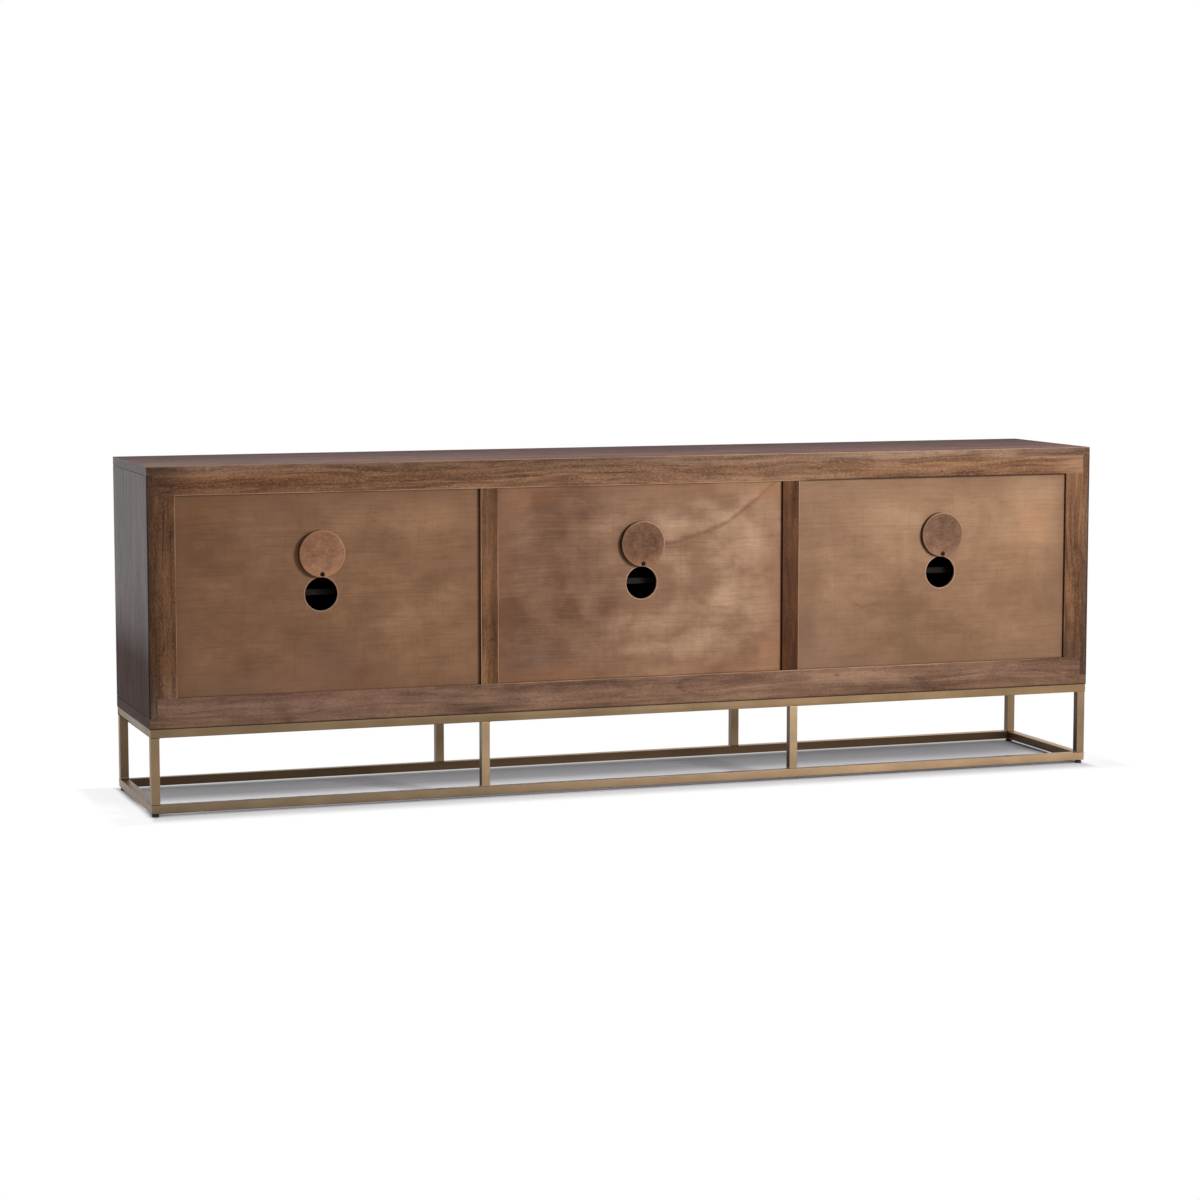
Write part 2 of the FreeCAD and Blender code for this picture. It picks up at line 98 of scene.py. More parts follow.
# Floor: its shadow lies under the base and reaches a little way out on each side
FLOOR_SIZE = 60.0
FLOOR_COLOUR = (0.43, 0.43, 0.45, 1.0)
# Painted light that the camera sees on the floor: more towards +X and +Y under the base, less beyond the +Y
# rail
FLOOR_PAINTED_LIGHT = (1.0, 1.0, 1.02)
PAINTED_LIGHT_ALONG = (1.19, -1.0, 1.0, 0.42)
PAINTED_LIGHT_ACROSS = (-0.08, 0.08, 0.45, 1.95)
PAINTED_LIGHT_NEAR = (0.14, 0.20, 1.0, 0.45)
BASE_HALF_X = 1.19
BASE_HALF_Y = 0.20
END_REACH = 0.11
NEAR_REACH = 0.10
FAR_REACH = 0.05
END_EDGE_INSIDE = 0.008
END_EDGE_OUTSIDE = 0.016
END_EDGE_CLEAR = 0.86

# Softened edges, in metres and degrees
WOOD_EDGE = 0.0005
JOINT_EDGE = 0.0002
TUBE_EDGE = 0.0014
EDGE_MERGE = 0.00001
EDGE_STEPS = 2
EDGE_ANGLE = 40.0

# Sizes of the case, its cable holes and the hinges, in metres
END_STILE = 0.047
MID_STILE_WIDTH = 0.043
RECESS = 0.0005
HOLE = 0.039
HOLE_Z = 0.500
TONGUE = 0.008
LEAF = 0.0012
HINGE_GAP = 0.0030
HINGE_HEIGHT = 0.060

# Small pieces, in metres; a head is (radius, height) from its lowest ring up, a socket (half width, depth)
TUBE = 0.020
WELD = 0.004
WELD_SINK = 0.0003
WELD_STEPS = 6
SCREW_STEPS = 24
COVER_SCREW_SHANK = 0.0020
COVER_SCREW_HEAD = ((0.0054, 0.0), (0.0053, 0.0009), (0.0048, 0.0016), (0.0040, 0.0021), (0.0028, 0.0024))
COVER_SCREW_SOCKET = (0.0015, 0.0014)
HINGE_SCREW_HEAD = ((0.0024, -0.0003), (0.0024, 0.0), (0.0021, 0.00012))
HINGE_SCREW_SOCKET = (0.0008, 0.0003)
HINGE_SCREW_PLACES = ((0.010, 0.0075), (0.030, 0.0120), (0.050, 0.0075))

# Places in a row of tones, which runs dark, middle, light, streak, pale grain; the fifth is a panel's
# border or a cover's rim, and a tube's fourth is the painted shade of its inner faces
DARK = 0
LIGHT = 2
STREAK = 3
PALE = 4
BORDER_TONE = 4
RIM_TONE = 4
INNER_SHADE_TONE = 3

# Noises are (cells per metre on three axes, detail, roughness); marks are (noise, from, to, share, tone)
GRAIN_AXES = {"X": (0, 2, 1), "Y": (1, 0, 2), "Z": (2, 0, 1)}
WOOD_DRIFT = ((2.4, 5.0, 5.0), 2.0, 0.5)
WOOD_BEND = (0.0, 0.05, 0.05)
WOOD_CLOUD = ((5.5, 5.5, 5.5), 3.0, 0.6)
WOOD_GRAIN = {
    "bands": ((1.7, 26.0, 26.0), 4.0, 0.6),
    "curl": ((24.0, 42.0, 42.0), 3.0, 0.6),
    "streaks": ((2.6, 75.0, 75.0), 2.0, 0.5),
    "rings": ((1.2, 8.0, 8.0), 1.0, 0.5),
    "fine": ((6.0, 150.0, 150.0), 3.0, 0.62),
    "flecks": ((150.0, 300.0, 300.0), 2.0, 0.6),
    "pores": ((70.0, 400.0, 400.0), 1.0, 0.5),
}
WOOD_MARKS = (
    ("streaks", 0.53, 0.70, 0.55, STREAK),
    ("fine", 0.48, 0.74, 0.46, STREAK),
    ("fine", 0.50, 0.28, 0.4, PALE),
    ("flecks", 0.52, 0.72, 0.5, STREAK),
    ("flecks", 0.46, 0.30, 0.45, PALE),
)
WOOD_PORES = (("pores", 0.60, 0.72, 0.3, STREAK),)
WOOD_RAMP = (0.2, 0.5, 0.8)
BAND_DEPTH = 1.5
CLOUD_DEPTH = 0.75
CURL_DEPTH = 0.3
WOOD_SHIFT = -0.775
RING_COUNT = 13.0
RING_WIDTH = (0.16, 0.0)
RING_CLOUD = (0.62, 0.4)
RING_DEPTH = 0.38

# Surface of all wood: roughness and heights from the fine grain and the pores
WOOD_ROUGHNESS = (0.2, 0.8, 0.42, 0.58)
FINE_HEIGHT = 0.6
PORE_HEIGHT = (0.72, 0.58)
WOOD_BUMP = (0.25, 0.0003)
WOOD_GLOSS = 0.1
TOP_GLOSS = 0.02
COVER_GLOSS = 0.12

# Faces, arrises and knots of solid wood: (from, to) in metres, then the shares there
FACE_REACH = (0.0012, 0.0004)
# Painted shade on the faces that lie deeper than the back's recess
RECESS_REACH = 0.0015
RECESS_SHARE = 0.9
# Painted shade line along some arrises
ARRIS_SHADE_REACH = (0.0045, 0.0010, 0.0, 0.85)
# Pale arrises, partly rubbed wear and partly painted highlight
PALE_ARRIS = (0.0026, 0.0006)
PALE_ARRIS_PATCH = ((9.0, 9.0, 9.0), 3.0, 0.5)
PALE_ARRIS_SHARE = (0.30, 0.62, 0.3, 0.9)
KNOT_GRAIN = (0.3, 0.6)
KNOT_LEAST = 0.5
JOINT_REACH = 0.002
# Where the pale arrises, partly painted highlight, set in along X
TOP_PALE_ARRIS_SPAN = (-0.45, -0.30)
# Where the painted shade line under the top rail sets in along X
TOP_LINE_SPAN = (-0.40, -0.44)
LOW_PALE_ARRIS_SPANS = [(0.5, 0.25), (-1.08, -1.0)]

# Panels
PANEL_DRIFT = ((3.0, 3.0, 6.0), 2.0, 0.5)
PANEL_BEND = (0.0, 0.03, 0.03)
PANEL_CLOUDS = {
    "big": ((4.0, 4.0, 5.0), 3.0, 0.55),
    "small": ((13.0, 13.0, 17.0), 4.0, 0.6),
    "cross": ((190.0, 190.0, 12.0), 2.0, 0.5),
}
PANEL_GRAIN = {
    "fine": ((6.0, 240.0, 240.0), 3.0, 0.6),
    "pores": ((50.0, 480.0, 480.0), 1.0, 0.5),
}
PANEL_MARKS = (
    ("fine", 0.45, 0.75, 0.22, STREAK),
    ("fine", 0.48, 0.28, 0.12, LIGHT),
    ("cross", 0.5, 0.75, 0.12, STREAK),
    ("pores", 0.60, 0.72, 0.2, STREAK),
)
PANEL_RAMP = (0.24, 0.5, 0.76)
PANEL_STRAY = ((9.0, 9.0, 9.0), 3.0, 0.6)
STRAY_REACH = (0.14, 0.0, 0.10)
STRAY_MIDDLE = (0.07, 0.0, 0.05)
BIG_DEPTH = 0.6
SMALL_DEPTH = 0.55
PANEL_SHIFT = -0.075
BORDER_WAVER = -0.09
BORDER = (0.03, -0.04, 0.0, 0.4)
# Painted shade line along the panel's edge, where the frame stands over it
BORDER_LINE = (0.0105, 0.0085, 0.0, 0.5)
HOLE_RIM_OUT = 0.0004
HOLE_RIM = (0.0024, 0.0010, 0.0, 0.75)

# Figure of the middle panel: the vein's curve, its pale upper side, oval rings and the paler half
VEIN_START = -0.072
VEIN_CURVE = (1.53, 0.101, 0.594)
VEIN_WAVER = 0.03
VEIN_MIDDLE = 0.015
VEIN_BEGUN = (-0.03, 0.0)
VEIN_WIDTH = (0.010, 0.0)
VEIN_DEPTH = -0.15
GLOW_ABOVE = (0.06, 0.004)
GLOW_BELOW = (-0.003, 0.004)
GLOW_DEPTH = 0.08
RINGS_MIDDLE = (0.02, 0.49)
RINGS_STRETCH = (4.0, 6.0)
RINGS_COUNT = 15.0
RINGS_DEPTH = 0.03
PALE_HALF = (0.22, -0.25, -0.08, 0.10)

# Covers
COVER_GRAIN = {
    "cloud": ((26.0, 26.0, 26.0), 5.0, 0.75),
    "fine": ((90.0, 240.0, 240.0), 3.0, 0.65),
    "pores": ((160.0, 700.0, 700.0), 1.0, 0.5),
}
COVER_MARKS = (
    ("fine", 0.48, 0.75, 0.45, DARK),
    ("fine", 0.50, 0.30, 0.35, LIGHT),
    ("pores", 0.58, 0.70, 0.40, STREAK),
)
COVER_RAMP = (0.26, 0.5, 0.76)
COVER_FADE = (0.06, -0.06)
COVER_RIM = 0.022
COVER_RIM_SHARE = (0.15, 0.6)
# Rim rubbed pale all round, with a painted highlight on its upper side towards -X
COVER_PALE_RIM = (0.0030, 0.0014)
COVER_PALE_RIM_SHARE = (-0.02, 0.06, 0.25, 0.85)
COVER_EDGE = (0.0013, 0.0020)

# Brass, and where the inner faces of its tubes lie, which take a painted shade
PATINA = ((7.0, 7.0, 9.0), 4.0, 0.6)
BRASS_RUB = ((220.0, 220.0, 220.0), 3.0, 0.6)
BRASS_RUB_SHARE = (0.50, 0.80, 0.0, 0.25)
BRASS_RAMP = (0.25, 0.50, 0.75)
BRASS_DULL = (0.25, 0.75)
BRASS_SMOOTHER = 0.05
BRASS_ROUGHER = 0.06
BRASS_BUMP = (0.12, 0.0002)
FACING = (0.6, 0.95)
FACING_DOWN = (-0.6, -0.95)
INNER_X = (1.191, 1.188)
INNER_Y = (0.190, 0.184)
INNER_Z = (0.0285, 0.0315, 0.95, 0.04)
INNER_END_SHARE = 0.8

# Dark steel and black nylon
STEEL_WEAR = ((300.0, 300.0, 300.0), 3.0, 0.6)
STEEL_RAMP = (0.35, 0.60, 0.75)
STEEL_ROUGHNESS = (0.3, 0.7, 0.28, 0.45)
NYLON_GRAIN = ((700.0, 700.0, 700.0), 2.0, 0.5)
NYLON_DUST = ((90.0, 90.0, 90.0), 3.0, 0.5)
NYLON_DUST_SHARE = (0.5, 0.8, 0.0, 0.4)
NYLON_ROUGHNESS = (0.3, 0.7, 0.45, 0.6)
NYLON_BUMP = (0.3, 0.0002)

# Stains and wear, and the colours of painted highlights, painted shade and painted sheen
# Colour of rubbed wear and of painted highlights on arrises and cover rims
WEAR_AND_HIGHLIGHT = linear(178, 140, 108)
WARM = linear(176, 116, 74)
COOL = linear(128, 100, 86)
HOLE_EDGE = linear(172, 138, 114)
# Painted shade of the recess walls and the covers' side edges
RECESS_SHADE = linear(38, 23, 15)
# Painted shade of the dark lines along arrises
ARRIS_SHADE = linear(34, 21, 14)
RAIL = tones((94, 62, 41), (122, 85, 59), (152, 112, 82), (60, 37, 24), (158, 119, 90))
LOW = tones((96, 69, 54), (122, 91, 72), (148, 114, 91), (62, 42, 32), (154, 120, 97))
STILE = tones((79, 50, 33), (108, 74, 50), (140, 100, 70), (47, 28, 18), (146, 106, 75))
MID_STILE = tones((82, 52, 33), (111, 76, 50), (143, 102, 70), (40, 23, 15), (147, 106, 74))
# The top's row holds painted sheen as well as its stain
TOP_WITH_SHEEN = tones((126, 86, 77), (146, 102, 92), (166, 119, 108), (98, 63, 55), (170, 125, 115))
TOP_EDGE = tones((112, 84, 66), (140, 110, 89), (162, 132, 110), (84, 60, 46), (168, 140, 118))
# The ends' row holds painted sheen as well as their stain
END_WITH_SHEEN = tones((96, 83, 80), (114, 101, 98), (130, 117, 113), (70, 58, 55), (134, 121, 117))
# Ends of the bottom board: darker, as painted shade low on the end faces
END_LOW_SHADED = tones((80, 60, 53), (96, 74, 67), (110, 88, 80), (58, 43, 38), (114, 93, 85))
CASE_INSIDE = tones((94, 62, 41), (118, 82, 56), (142, 103, 73), (60, 37, 24), (148, 110, 80))
SIDE_EDGES = {
    "left": tones((78, 52, 37), (104, 74, 53), (131, 97, 71), (48, 30, 20), (137, 103, 77)),
    "right": tones((74, 47, 32), (100, 68, 48), (128, 91, 66), (44, 26, 17), (134, 97, 70)),
}
PANELS = {
    "right": tones((112, 79, 56), (136, 99, 72), (160, 120, 90), (84, 57, 40), (122, 88, 66)),
    "middle": tones((104, 72, 52), (136, 101, 77), (172, 138, 110), (82, 55, 40), (128, 85, 57)),
    "left": tones((118, 87, 64), (141, 107, 81), (164, 130, 100), (92, 65, 47), (122, 91, 70)),
}
COVERS = {
    "right": tones((107, 72, 50), (144, 102, 75), (176, 132, 101), (78, 51, 36), (181, 126, 88)),
    "middle": tones((70, 43, 29), (100, 67, 46), (130, 92, 67), (50, 30, 21), (146, 106, 74)),
    "left": tones((82, 56, 41), (112, 80, 60), (140, 104, 80), (60, 40, 29), (132, 96, 73)),
}

# Seeds of the grain, and the step from one to the next of several like pieces
RAIL_SEED = (7.4, 3.6, 2.9)
LOW_SEED = (1.2, 8.3, 5.5)
STILE_SEED = (4.4, 9.1, 6.2)
MID_SEED = (8.2, 4.7, 3.3)
TOP_SEED = (3.1, 7.7, 1.3)
END_SEEDS = {"left": (5.3, 1.9, 8.6), "right": (2.8, 6.1, 0.7)}
BAY_SEED = (2.3, 5.1, 8.8)
BAY_SEED_STEP = (3.7, 1.9, -2.3)
DOOR_SEED = (1.7, 6.3, 3.9)
DOOR_SEED_STEP = (2.9, -1.1, 0.7)
LOW_GRAIN = 0.65
MID_GRAIN = 0.85

# Painted light and shade, and some stain, as (axis, from, to, tint) along an axis, and the gloss of the ends
# up the Z axis
# Top: painted reflection, darker towards the far edge at -Y, and painted light towards +X
TOP_PAINTED_SHEEN_AND_LIGHT = [
    (1, 0.20, -0.20, linear(158, 141, 136)),
    (0, -0.3, 0.9, (1.24, 1.42, 1.50, 1.0)),
]
# Top's back edge: darker from -0.75 to 0.2 along X, painted light towards +X, darker at the -X end, painted
# shade at the +X corner
TOP_EDGE_PAINTED_LIGHT_AND_SHADE = [
    (0, -0.75, 0.2, linear(214, 206, 200)),
    (0, 0.2, 0.85, (1.38, 1.38, 1.36, 1.0)),
    (0, -0.95, -1.03, (0.56, 0.52, 0.54, 1.0)),
    (0, 1.05, 1.17, (0.54, 0.56, 0.62, 1.0)),
]
LOW_EDGE_SHADES = [(0, 0.9, 0.0, linear(238, 236, 234))]
# Painted shade on the end faces, darker towards the bottom
END_PAINTED_SHADE = [(2, 0.58, 0.30, linear(190, 153, 144))]
SIDE_EDGE_SHADES = {
    "left": [(2, 0.66, 0.42, (0.66, 0.68, 0.72, 1.0))],
    # Right side's edge: painted shade towards its outer corner, and paler and cooler towards the bottom
    "right": [(0, 1.176, 1.194, (0.55, 0.56, 0.58, 1.0)), (2, 0.34, 0.25, (1.15, 1.50, 1.90, 1.0))],
}
# Top rail: painted light towards +X and painted shade at the +X corner
RAIL_PAINTED_LIGHT_AND_SHADE = [
    (0, 0.3, 0.9, (1.25, 1.20, 1.16, 1.0)),
    (0, 1.05, 1.176, (0.53, 0.55, 0.60, 1.0)),
]
# Bottom rail: painted light towards +X
LOW_PAINTED_LIGHT = [(0, 0.2, 0.85, (1.2, 1.2, 1.27, 1.0))]
STILE_SHADES = [(2, 0.34, 0.26, (1.15, 1.30, 1.55, 1.0))]
MID_SHADES = [
    (0, 0.2, -0.2, linear(234, 214, 182)),
    (0, 0.396, 0.370, linear(200, 190, 178)),
]
# Shelves: painted shade, near black towards the back
SHELF_PAINTED_SHADE = [(1, -0.12, 0.08, (0.035, 0.05, 0.08, 1.0))]
END_GLOSS = (0.54, 0.34, 0.3, 0.018)

# Knots of the stiles and the rails, and broader darker or paler places, as ovals (x, z, width, height, depth)
END_KNOTS = [
    (-1.154, 0.484, 0.014, 0.012, 0.6),
    (-1.146, 0.349, 0.020, 0.026, 0.45),
    (-1.146, 0.275, 0.060, 0.110, 0.85),
    (-1.152, 0.740, 0.050, 0.160, -0.80),
    (-1.157, 0.640, 0.010, 0.050, 0.4),
    (1.146, 0.640, 0.016, 0.060, 0.35),
    (1.160, 0.470, 0.014, 0.050, 0.3),
]
RAIL_KNOTS = [
    (-1.160, 0.757, 0.090, 0.060, -1.0),
    (-0.385, 0.757, 0.110, 0.050, -0.5),
]
LOW_KNOTS = [
    (0.414, 0.213, 0.11, 0.012, 0.75),
    (-0.309, 0.257, 0.05, 0.014, 0.6),
    (0.352, 0.217, 0.12, 0.007, 0.7),
    (-0.508, 0.256, 0.012, 0.006, 0.9),
    (-0.390, 0.250, 0.080, 0.040, 0.6),
]
MID_KNOTS = [
    (0.378, 0.379, 0.007, 0.005, 0.9),
    (0.377, 0.668, 0.008, 0.014, 0.5),
    (-0.378, 0.612, 0.012, 0.03, 0.55),
    (-0.385, 0.470, 0.060, 0.130, 0.35),
    (0.396, 0.624, 0.006, 0.02, 0.45),
]

# Soft darker and lighter places on each panel, and places of a warmer or cooler stain
SPOTS = {
    "right": [
        (0.948, 0.660, 0.18, 0.08, 0.06),
        (0.650, 0.630, 0.10, 0.06, -0.07),
        (0.543, 0.680, 0.12, 0.06, 0.08),
        (0.767, 0.359, 0.09, 0.09, -0.10),
        (0.543, 0.447, 0.15, 0.10, 0.08),
        (1.066, 0.358, 0.12, 0.10, -0.01),
        (0.510, 0.290, 0.16, 0.05, 0.10),
        (1.060, 0.400, 0.12, 0.05, 0.14),
        (1.020, 0.520, 0.30, 0.30, -0.14),
    ],
    "middle": [
        (0.337, 0.460, 0.06, 0.16, -0.16),
        (0.230, 0.710, 0.10, 0.05, -0.10),
        (0.203, 0.373, 0.13, 0.08, -0.02),
        (-0.262, 0.532, 0.022, 0.016, 0.10),
        (0.145, 0.433, 0.05, 0.09, 0.09),
        (0.015, 0.408, 0.12, 0.07, 0.12),
        (-0.097, 0.647, 0.10, 0.06, 0.14),
        (-0.230, 0.570, 0.14, 0.10, 0.12),
        (-0.147, 0.334, 0.16, 0.06, 0.13),
        (-0.210, 0.438, 0.07, 0.008, -0.14),
        (-0.258, 0.388, 0.10, 0.06, -0.06),
        (0.220, 0.690, 0.20, 0.10, -0.14),
        (-0.230, 0.300, 0.20, 0.06, -0.16),
        (-0.220, 0.460, 0.12, 0.06, 0.10),
        (-0.200, 0.640, 0.16, 0.07, 0.08),
        (-0.200, 0.330, 0.16, 0.06, -0.08),
    ],
    "left": [
        (-0.437, 0.500, 0.07, 0.16, -0.13),
        (-0.431, 0.356, 0.07, 0.10, -0.12),
        (-0.666, 0.637, 0.20, 0.08, 0.07),
        (-1.042, 0.586, 0.12, 0.10, 0.10),
        (-0.570, 0.493, 0.05, 0.007, -0.12),
        (-0.598, 0.430, 0.08, 0.006, -0.14),
        (-0.823, 0.368, 0.10, 0.06, -0.07),
        (-0.760, 0.340, 0.60, 0.18, -0.22),
        (-0.980, 0.650, 0.22, 0.12, 0.18),
        (-0.960, 0.430, 0.24, 0.10, -0.12),
        (-1.050, 0.700, 0.14, 0.07, 0.24),
        (-0.520, 0.300, 0.20, 0.08, -0.10),
    ],
}
TINTS = {
    "right": [
        (1.050, 0.700, 0.14, 0.05, 0.15, WARM),
        (0.767, 0.350, 0.10, 0.08, 0.30, COOL),
        (1.000, 0.300, 0.30, 0.05, 0.30, COOL),
    ],
    "middle": [
        (-0.345, 0.310, 0.06, 0.10, 0.18, WARM),
        (-0.330, 0.715, 0.08, 0.05, 0.28, WARM),
        (0.290, 0.715, 0.12, 0.05, 0.12, WARM),
        (0.290, 0.330, 0.14, 0.07, 0.35, COOL),
    ],
    "left": [
        (-1.020, 0.600, 0.10, 0.10, 0.20, WARM),
        (-0.450, 0.340, 0.10, 0.12, 0.30, COOL),
    ],
}

# Metal and plastic; tones of metal run dark, middle, light and, on the tubes, the painted shade of inner
# faces
TUBE_TONES = {
    # The upper rails' darker row is painted shade
    "base_upper_rails": tones((121, 99, 73), (132, 108, 80), (143, 118, 89), (64, 49, 34)),
    "base_lower_rails": tones((165, 137, 107), (177, 147, 115), (190, 159, 126), (88, 69, 51)),
    "base_corner_legs": tones((125, 103, 80), (137, 113, 88), (149, 125, 98), (68, 53, 38)),
    "base_middle_legs": tones((138, 117, 91), (150, 127, 99), (162, 138, 109), (80, 64, 48)),
}
# Painted shade on each part of the base, deepening along X towards +X
TUBE_PAINTED_SHADE = {
    "base_upper_rails": (-0.8, 0.0, (0.75, 0.77, 0.80, 1.0)),
    "base_lower_rails": (-1.1, 1.19, (0.48, 0.51, 0.53, 1.0)),
    "base_corner_legs": (-0.9, 1.19, (0.85, 0.85, 0.85, 1.0)),
    "base_middle_legs": (-0.9, 1.19, (0.90, 0.90, 0.90, 1.0)),
}
TUBE_SEED = (1.1, 2.2, 3.3)
TUBE_ROUGHNESS = 0.42
HARDWARE_TONES = tones((140, 112, 74), (166, 134, 90), (188, 156, 110))
HARDWARE_SEED = (4.1, 0.2, 6.3)
HARDWARE_ROUGHNESS = 0.3
STEEL_TONES = tones((16, 14, 14), (30, 27, 26), (72, 66, 62))
STEEL_SEED = (0.4, 0.8, 0.1)
NYLON_TONES = tones((16, 16, 17), (52, 50, 50))
NYLON_SEED = (0.7, 0.3, 0.9)

# Places taken from the frame
nodes = frame["nodes"]
case_low, case_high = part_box("top_board")
case_ends = {"left": case_low.x, "right": case_high.x}
back = case_high.y
back_recess = back - RECESS
rail_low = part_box("back_top_rail")[0].z
rail_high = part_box("back_bottom_rail")[1].z
end_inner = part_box("back_end_stiles")[1].x - END_STILE
mid_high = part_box("back_mid_stiles")[1].x
mid_low = mid_high - MID_STILE_WIDTH


class Nodes:
    """Short way to write a node tree."""

    def __init__(self, tree):
        self.tree = tree
        tree.nodes.clear()

    def add(self, kind, settings=None, **inputs):
        """Add a node, with attributes from settings and sockets from the named inputs."""
        item = self.tree.nodes.new(kind)
        for name, value in (settings or {}).items():
            setattr(item, name, value)
        for name, value in inputs.items():
            self.feed(item.inputs[name.replace("_", " ")], value)
        return item

    def feed(self, socket, value):
        """Link an output to a socket, or set the socket."""
        if isinstance(value, bpy.types.NodeSocket):
            self.tree.links.new(value, socket)
        else:
            socket.default_value = value

    def split(self, vector):
        """The three axes of a vector."""
        return self.add("ShaderNodeSeparateXYZ", Vector=vector).outputs

    def math(self, operation, *values):
        """Output of a Math node."""
        item = self.add("ShaderNodeMath", {"operation": operation})
        for socket, value in zip(item.inputs, values):
            self.feed(socket, value)
        return item.outputs[0]

    def vector(self, operation, *values):
        """Output of a Vector Math node."""
        item = self.add("ShaderNodeVectorMath", {"operation": operation})
        for socket, value in zip(item.inputs, values):
            self.feed(socket, value)
        return item.outputs["Value"] if operation == "LENGTH" else item.outputs[0]

    def mix(self, factor, first, second, blend="MIX"):
        """Colour mixed from two others."""
        item = self.add("ShaderNodeMix", {"data_type": "RGBA", "blend_type": blend})
        self.feed(item.inputs[0], factor)
        self.feed(item.inputs[6], first)
        self.feed(item.inputs[7], second)
        return item.outputs[2]

    def blend(self, factor, first, second):
        """Shader mixed from two others."""
        item = self.add("ShaderNodeMixShader", Fac=factor)
        self.feed(item.inputs[1], first.outputs[0])
        self.feed(item.inputs[2], second.outputs[0])
        return item.outputs[0]

    def span(self, value, low, high, start=0.0, end=1.0):
        """Value carried smoothly from one range to another, and held at its ends."""
        item = self.add("ShaderNodeMapRange", {"interpolation_type": "SMOOTHSTEP"}, Value=value)
        for name, level in (("From Min", low), ("From Max", high), ("To Min", start), ("To Max", end)):
            self.feed(item.inputs[name], level)
        return item.outputs["Result"]

    def noise(self, place, seed, stretch, detail, roughness, output=0):
        """Noise drawn out by a stretch in cells per metre; output 1 is three noises as a vector."""
        spread = self.add("ShaderNodeMapping", Vector=place, Scale=stretch, Location=seed)
        item = self.add("ShaderNodeTexNoise", Vector=spread.outputs[0], Scale=1.0)
        self.feed(item.inputs["Detail"], detail)
        self.feed(item.inputs["Roughness"], roughness)
        return item.outputs[output]

    def noises(self, place, seed, table):
        """Each noise of a table, by its name."""
        return {name: self.noise(place, seed, *row) for name, row in table.items()}

    def ramp(self, value, places, colours):
        """Colour ramp with a colour at each of its places."""
        item = self.add("ShaderNodeValToRGB", Fac=value)
        elements = item.color_ramp.elements
        while len(elements) < len(places):
            elements.new(0.5)
        for element, place, colour in zip(elements, places, colours):
            element.position = place
            element.color = colour
        return item.outputs[0]

    def bump(self, height, strength, distance):
        """Normal from a height."""
        item = self.add("ShaderNodeBump", Strength=strength, Distance=distance, Height=height)
        return item.outputs[0]

    def rays(self):
        """Whether the camera sees a point straight, and whether it sees it so, in gloss or through glass."""
        path = self.add("ShaderNodeLightPath").outputs
        beyond = self.math("MAXIMUM", path["Is Glossy Ray"], path["Is Transmission Ray"])
        return path["Is Camera Ray"], self.math("MAXIMUM", path["Is Camera Ray"], beyond)


def make_camera():
    camera = bpy.data.objects.new("camera", bpy.data.cameras.new("camera"))
    camera.data.lens = CAMERA_LENS
    camera.data.sensor_width = CAMERA_SENSOR
    camera.data.clip_end = CAMERA_END
    camera.location = CAMERA_PLACE
    camera.rotation_euler = Vector(CAMERA_WAY).to_track_quat("-Z", "Y").to_euler()
    bpy.context.scene.collection.objects.link(camera)
    bpy.context.scene.camera = camera


def make_world():
    """Even light from all round, which the camera, gloss and glass see as white."""
    world = bpy.data.worlds.new("studio")
    world.use_nodes = True
    bpy.context.scene.world = world
    n = Nodes(world.node_tree)
    seen = n.rays()[1]
    light = n.add("ShaderNodeBackground", Color=SKY, Strength=SKY_LIGHT)
    white = n.add("ShaderNodeBackground", Color=WHITE, Strength=1.0)
    n.add("ShaderNodeOutputWorld", Surface=n.blend(seen, light, white))


def area_light(name, place, target, size, power, mirrored=True):
    """Lamp with an even face; one that isn't mirrored shows in no gloss."""
    lamp = bpy.data.objects.new(name, bpy.data.lights.new(name, "AREA"))
    lamp.data.shape = "RECTANGLE"
    lamp.data.size = size[0]
    lamp.data.size_y = size[1]
    lamp.data.energy = power
    lamp.visible_glossy = mirrored
    lamp.location = place
    lamp.rotation_euler = (Vector(target) - Vector(place)).to_track_quat("-Z", "Y").to_euler()
    bpy.context.scene.collection.objects.link(lamp)


def new_material(name):
    material = bpy.data.materials.new(name)
    material.use_nodes = True
    return material, Nodes(material.node_tree)


def new_wood(name):
    """New material with the place on the piece and that place's axes."""
    material, n = new_material(name)
    place = n.add("ShaderNodeTexCoord").outputs["Object"]
    return material, n, place, n.split(place)


